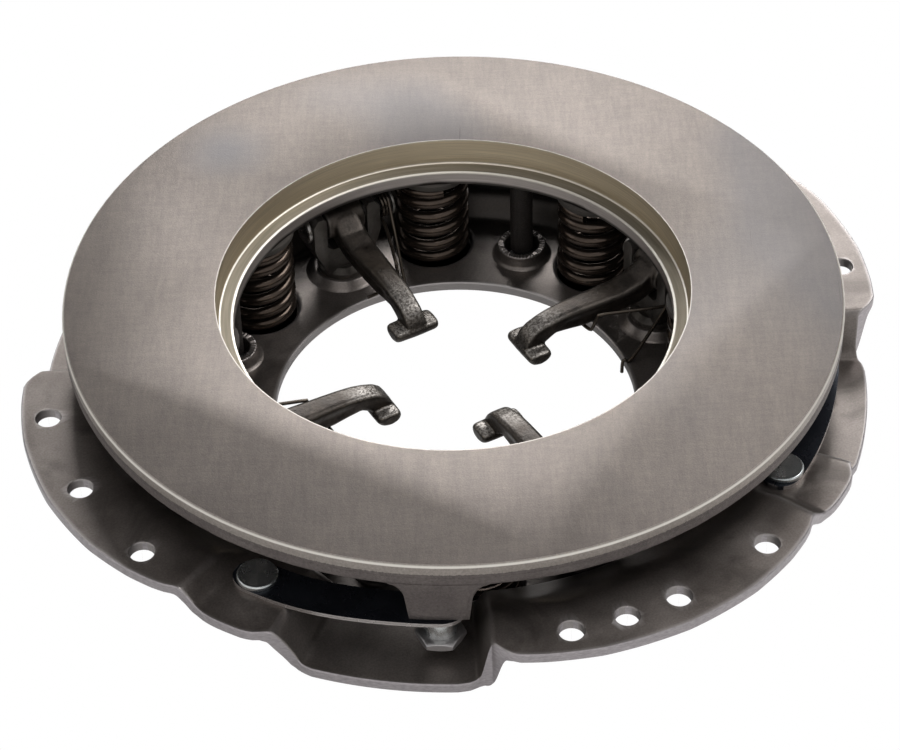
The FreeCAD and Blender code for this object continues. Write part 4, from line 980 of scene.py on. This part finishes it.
ring_of("rivet_heads", "zinc_plate", "cover", "strap_rivets", RIVET_ANGLE, rivet)
ring_of("sleeve_rings", "zinc_plate", "pressure_plate", "strap_sleeves", LUG_ANGLE, sleeve)
ring_of("strap_bolt_heads", "bolt_steel", "pressure_plate", "strap_bolts", LUG_ANGLE,
        lambda: hexagon_bolt(9.5, 9.3, SLEEVE_FOOT, 3.8, 5.0, LUG_FOOT + 15.0))


# Lug roots and rim skirt: the casting sweeps from the rim into each lug

def lug_sweep():
    reach, flare_width, top = 11.5, 7.5, RIM_LOW - 1.2
    turns = np.radians(np.linspace(0, 86, 20))
    levels = np.concatenate([[LUG_FOOT, LUG_FOOT + 0.5, LUG_FOOT + 1.2], np.linspace(1.5, top - reach, 8),
                             top - reach + reach * np.sin(turns)[1:], [RIM_LOW + 0.4]])
    across = np.concatenate([np.linspace(-1, -0.8, 8), np.linspace(-0.7, 0.7, 15), np.linspace(0.8, 1, 8)])
    rings = []
    for z in levels:
        half = 15.4 - (24.6 - z) * math.tan(math.radians(6)) + 0.08
        outer = RIM_OUTER - 3.0 * (RIM_LOW - z) / (RIM_LOW - LUG_FOOT) + 0.12
        climb = min(max(z - (top - reach), 0.0), reach * math.sin(turns[-1]))
        flare = flare_width * (1 - math.sqrt(1 - (climb / reach) ** 2))
        foot_round = 0.8 * (1 - spread_smoothly(LUG_FOOT, LUG_FOOT + 1.2, z))
        half, outer = half - foot_round, outer - foot_round
        full = half + flare
        w = across * full
        fall = FLARE_FALL * spread_smoothly(half - 2.5, half + 3.5, np.abs(w))
        fall = fall * spread_smoothly(RIM_LOW - reach - 2, RIM_LOW, z)
        edge = 1.6 * np.clip((np.abs(across) - 0.8) / 0.2, 0, 1) ** 3
        x = np.sqrt((outer - fall - edge) ** 2 - w ** 2)
        inner = np.column_stack([np.full(2, 152.0), [full, -full], np.full(2, z)])
        rings.append(np.vstack([np.column_stack([x, w, np.full(len(w), z)]), inner]))
    return np.concatenate(rings), skin(len(rings), len(rings[0]))


def rim_skirt():
    profile = [(158.0, 21.4), (172.0, 20.9), (174.6, 21.0), (175.6, 21.4), (176.02, 22.2), (176.06, 23.2),
               (176.06, 26.0), (158.0, 26.0)]
    points, faces = lathe(profile[::-1], 540)
    bearing = np.arctan2(points[:, 1], points[:, 0])
    rough = sum(np.sin(bearing * n + n) / (1 + n / 60.0) for n in (31, 57, 83, 127, 171, 229)) / 4.0
    edge = (points[:, 2] < 21.6) & (points[:, 0] ** 2 + points[:, 1] ** 2 > 165.0 ** 2)
    points[edge, 2] += 0.35 * rough[edge]
    return points, faces


link_mesh("rim_skirt", mesh_from("rim_skirt", *rim_skirt()), "plate_iron", "pressure_plate", (), 50)
lug_points, lug_faces = lug_sweep()
lugs = [(turned_about_axis(lug_points, LUG_ANGLE + k * QUARTER), lug_faces) for k in STATIONS]
link_mesh("lug_roots", mesh_from("lug_roots", *joined(lugs)), "plate_iron", "pressure_plate", (), 50)


# Drive straps

def leaf(lift, middle_turn):
    half = (LUG_ANGLE - RIVET_ANGLE) / 2
    rows = []
    caps = np.linspace(90, 6, 9)
    for turn in caps:
        a = math.radians(turn)
        rows.append((-half, -math.sin(a) * 0.93, math.cos(a)))
    rows += [(t, 0.0, 1.0) for t in np.linspace(-half, half, 25)[1:-1]]
    for turn in caps[::-1]:
        a = math.radians(turn)
        rows.append((half, math.sin(a) * 0.93, math.cos(a)))
    bottoms, tops = [], []
    wide = 7
    for turn, along, width in rows:
        a = math.radians(turn)
        for side in np.linspace(-1, 1, wide):
            radius = STRAP_CIRCLE + side * width * STRAP_HALF
            x = radius * math.cos(a) - along * STRAP_END * math.sin(a)
            y = radius * math.sin(a) + along * STRAP_END * math.cos(a)
            share = float(spread_smoothly(-STRAP_BEND - 4, STRAP_BEND + 4, y))
            z = STRAP_LOW + (STRAP_HIGH - STRAP_LOW) * share + lift
            bottoms.append((x, y, z))
            tops.append((x, y, z + LEAF))
    count = len(rows)
    points = np.array(bottoms + tops)
    shift = len(bottoms)
    faces = []
    for j in range(count - 1):
        for k in range(wide - 1):
            a, b, c, d = j * wide + k, j * wide + k + 1, (j + 1) * wide + k + 1, (j + 1) * wide + k
            faces.append((a, b, c, d))
            faces.append((a + shift, d + shift, c + shift, b + shift))
    edge = [j * wide for j in range(count)] + [(count - 1) * wide + k for k in range(1, wide)]
    edge += [j * wide + wide - 1 for j in range(count - 2, -1, -1)] + [k for k in range(wide - 2, 0, -1)]
    for a, b in zip(edge, edge[1:] + edge[:1]):
        faces.append((a, a + shift, b + shift, b))
    return turned_about_axis(points, middle_turn), faces


for k in STATIONS:
    middle = (LUG_ANGLE + RIVET_ANGLE) / 2 + k * QUARTER
    verts, faces = joined([leaf(0, middle), leaf(LEAF + LEAF_GAP, middle)])
    mesh = mesh_from(f"strap_leaves_{k + 1}", verts, faces)
    piece = link_mesh(f"strap_leaves_{k + 1}", mesh, "strap_steel", None, [f"strap_{k + 1}"], 40)
    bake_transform(piece)


# Stage, lights and camera

def stage_material():
    material = bpy.data.materials.new("pale_floor")
    material.use_nodes = True
    nodes, links = material.node_tree.nodes, material.node_tree.links
    nodes.clear()
    output = nodes.new("ShaderNodeOutputMaterial")
    matte = nodes.new("ShaderNodeBsdfDiffuse")
    matte.inputs["Color"].default_value = (0.82, 0.82, 0.82, 1)
    glow = nodes.new("ShaderNodeEmission")
    glow.inputs["Color"].default_value = (1, 1, 1, 1)
    glow.inputs["Strength"].default_value = 1.0
    path = nodes.new("ShaderNodeLightPath")
    mix = nodes.new("ShaderNodeMixShader")
    links.new(path.outputs["Is Camera Ray"], mix.inputs["Fac"])
    links.new(matte.outputs["BSDF"], mix.inputs[1])
    links.new(glow.outputs["Emission"], mix.inputs[2])
    links.new(mix.outputs["Shader"], output.inputs["Surface"])
    return material


floor_half = 2500.0
floor_mesh = mesh_from(
    "floor",
    [(-floor_half, -floor_half, FLOOR_Z), (floor_half, -floor_half, FLOOR_Z),
     (floor_half, floor_half, FLOOR_Z), (-floor_half, floor_half, FLOOR_Z)],
    [(0, 1, 2, 3)],
)
floor_mesh.materials.append(stage_material())
placed("floor", floor_mesh)

world = bpy.data.worlds.new("studio")
bpy.context.scene.world = world
world.use_nodes = True
world_nodes, world_links = world.node_tree.nodes, world.node_tree.links
background = world_nodes["Background"]
light_path = world_nodes.new("ShaderNodeLightPath")
sky = world_nodes.new("ShaderNodeMix")
sky.data_type = "RGBA"
heading = world_nodes.new("ShaderNodeVectorMath")
heading.operation = "DOT_PRODUCT"
front = math.radians(-28.8)
world_links.new(world_nodes.new("ShaderNodeTexCoord").outputs["Generated"], heading.inputs[0])
heading.inputs[1].default_value = (math.sin(front), -math.cos(front), 0.0)
shade = spread(world.node_tree, heading.outputs["Value"], 0.20, 0.85, -0.6, 0.9)
tone = world_nodes.new("ShaderNodeCombineXYZ")
for socket in tone.inputs:
    world_links.new(shade, socket)
world_links.new(tone.outputs["Vector"], sky.inputs["A"])
sky.inputs["B"].default_value = (1, 1, 1, 1)
world_links.new(light_path.outputs["Is Camera Ray"], sky.inputs["Factor"])
world_links.new(sky.outputs["Result"], background.inputs["Color"])
background.inputs["Strength"].default_value = 1.0

CAMERA_TURN = 28.8


def area_light(name, azimuth, elevation, distance, width, height, power):
    light = bpy.data.lights.new(name, "AREA")
    light.shape = "RECTANGLE"
    light.size = width
    light.size_y = height
    light.energy = power
    lamp = placed(name, light)
    a, e = math.radians(azimuth - CAMERA_TURN), math.radians(elevation)
    spot = Vector((math.sin(a) * math.cos(e), -math.cos(a) * math.cos(e), math.sin(e)))
    lamp.location = spot * distance
    lamp.rotation_mode = "QUATERNION"
    lamp.rotation_quaternion = (-spot).to_track_quat("-Z", "Y")


area_light("key", 110, 50, 1.6, 0.9, 0.7, 11.0)
area_light("fill", -95, 30, 1.8, 1.0, 0.8, 1.5)
area_light("back", 178, 33, 1.62, 0.85, 0.5, 12.0)
area_light("right_back", 152, 44, 1.5, 0.4, 0.4, 0.8)
area_light("top", 20, 82, 1.3, 0.35, 0.25, 1.2)

SOLVED = {"focal": 2926.06, "elevation": 42.218, "roll": 1.592, "shift": (1.2607, 40.3237, 1320.42)}
FACE_HEIGHT = 32.9
PHOTO_WIDTH = 900


def solved_camera():
    e, roll = math.radians(SOLVED["elevation"]), math.radians(SOLVED["roll"])
    rows = np.array([[1, 0, 0], [0, math.sin(e), math.cos(e)], [0, -math.cos(e), math.sin(e)]])
    spin = np.array([[math.cos(roll), -math.sin(roll), 0], [math.sin(roll), math.cos(roll), 0], [0, 0, 1]])
    rows = spin @ rows
    shift = SOLVED["shift"]
    place = -rows.T @ np.array([shift[0], shift[1], -shift[2]])
    turn = math.radians(-CAMERA_TURN)
    about = np.array([[math.cos(turn), -math.sin(turn), 0], [math.sin(turn), math.cos(turn), 0], [0, 0, 1]])
    place = about @ place + np.array([0, 0, FACE_HEIGHT])
    axes = about @ rows.T
    camera = bpy.data.cameras.new("camera")
    camera.sensor_fit = "HORIZONTAL"
    camera.sensor_width = 36.0
    camera.lens = SOLVED["focal"] / PHOTO_WIDTH * 36.0
    camera.clip_start = 0.05
    camera.clip_end = 20.0
    item = placed("camera", camera)
    rows = [[*axis, along * MM] for axis, along in zip(axes, place)]
    item.matrix_world = Matrix([*rows, [0, 0, 0, 1]])
    return item


bpy.context.scene.camera = solved_camera()
bpy.context.scene.view_settings.view_transform = "Standard"
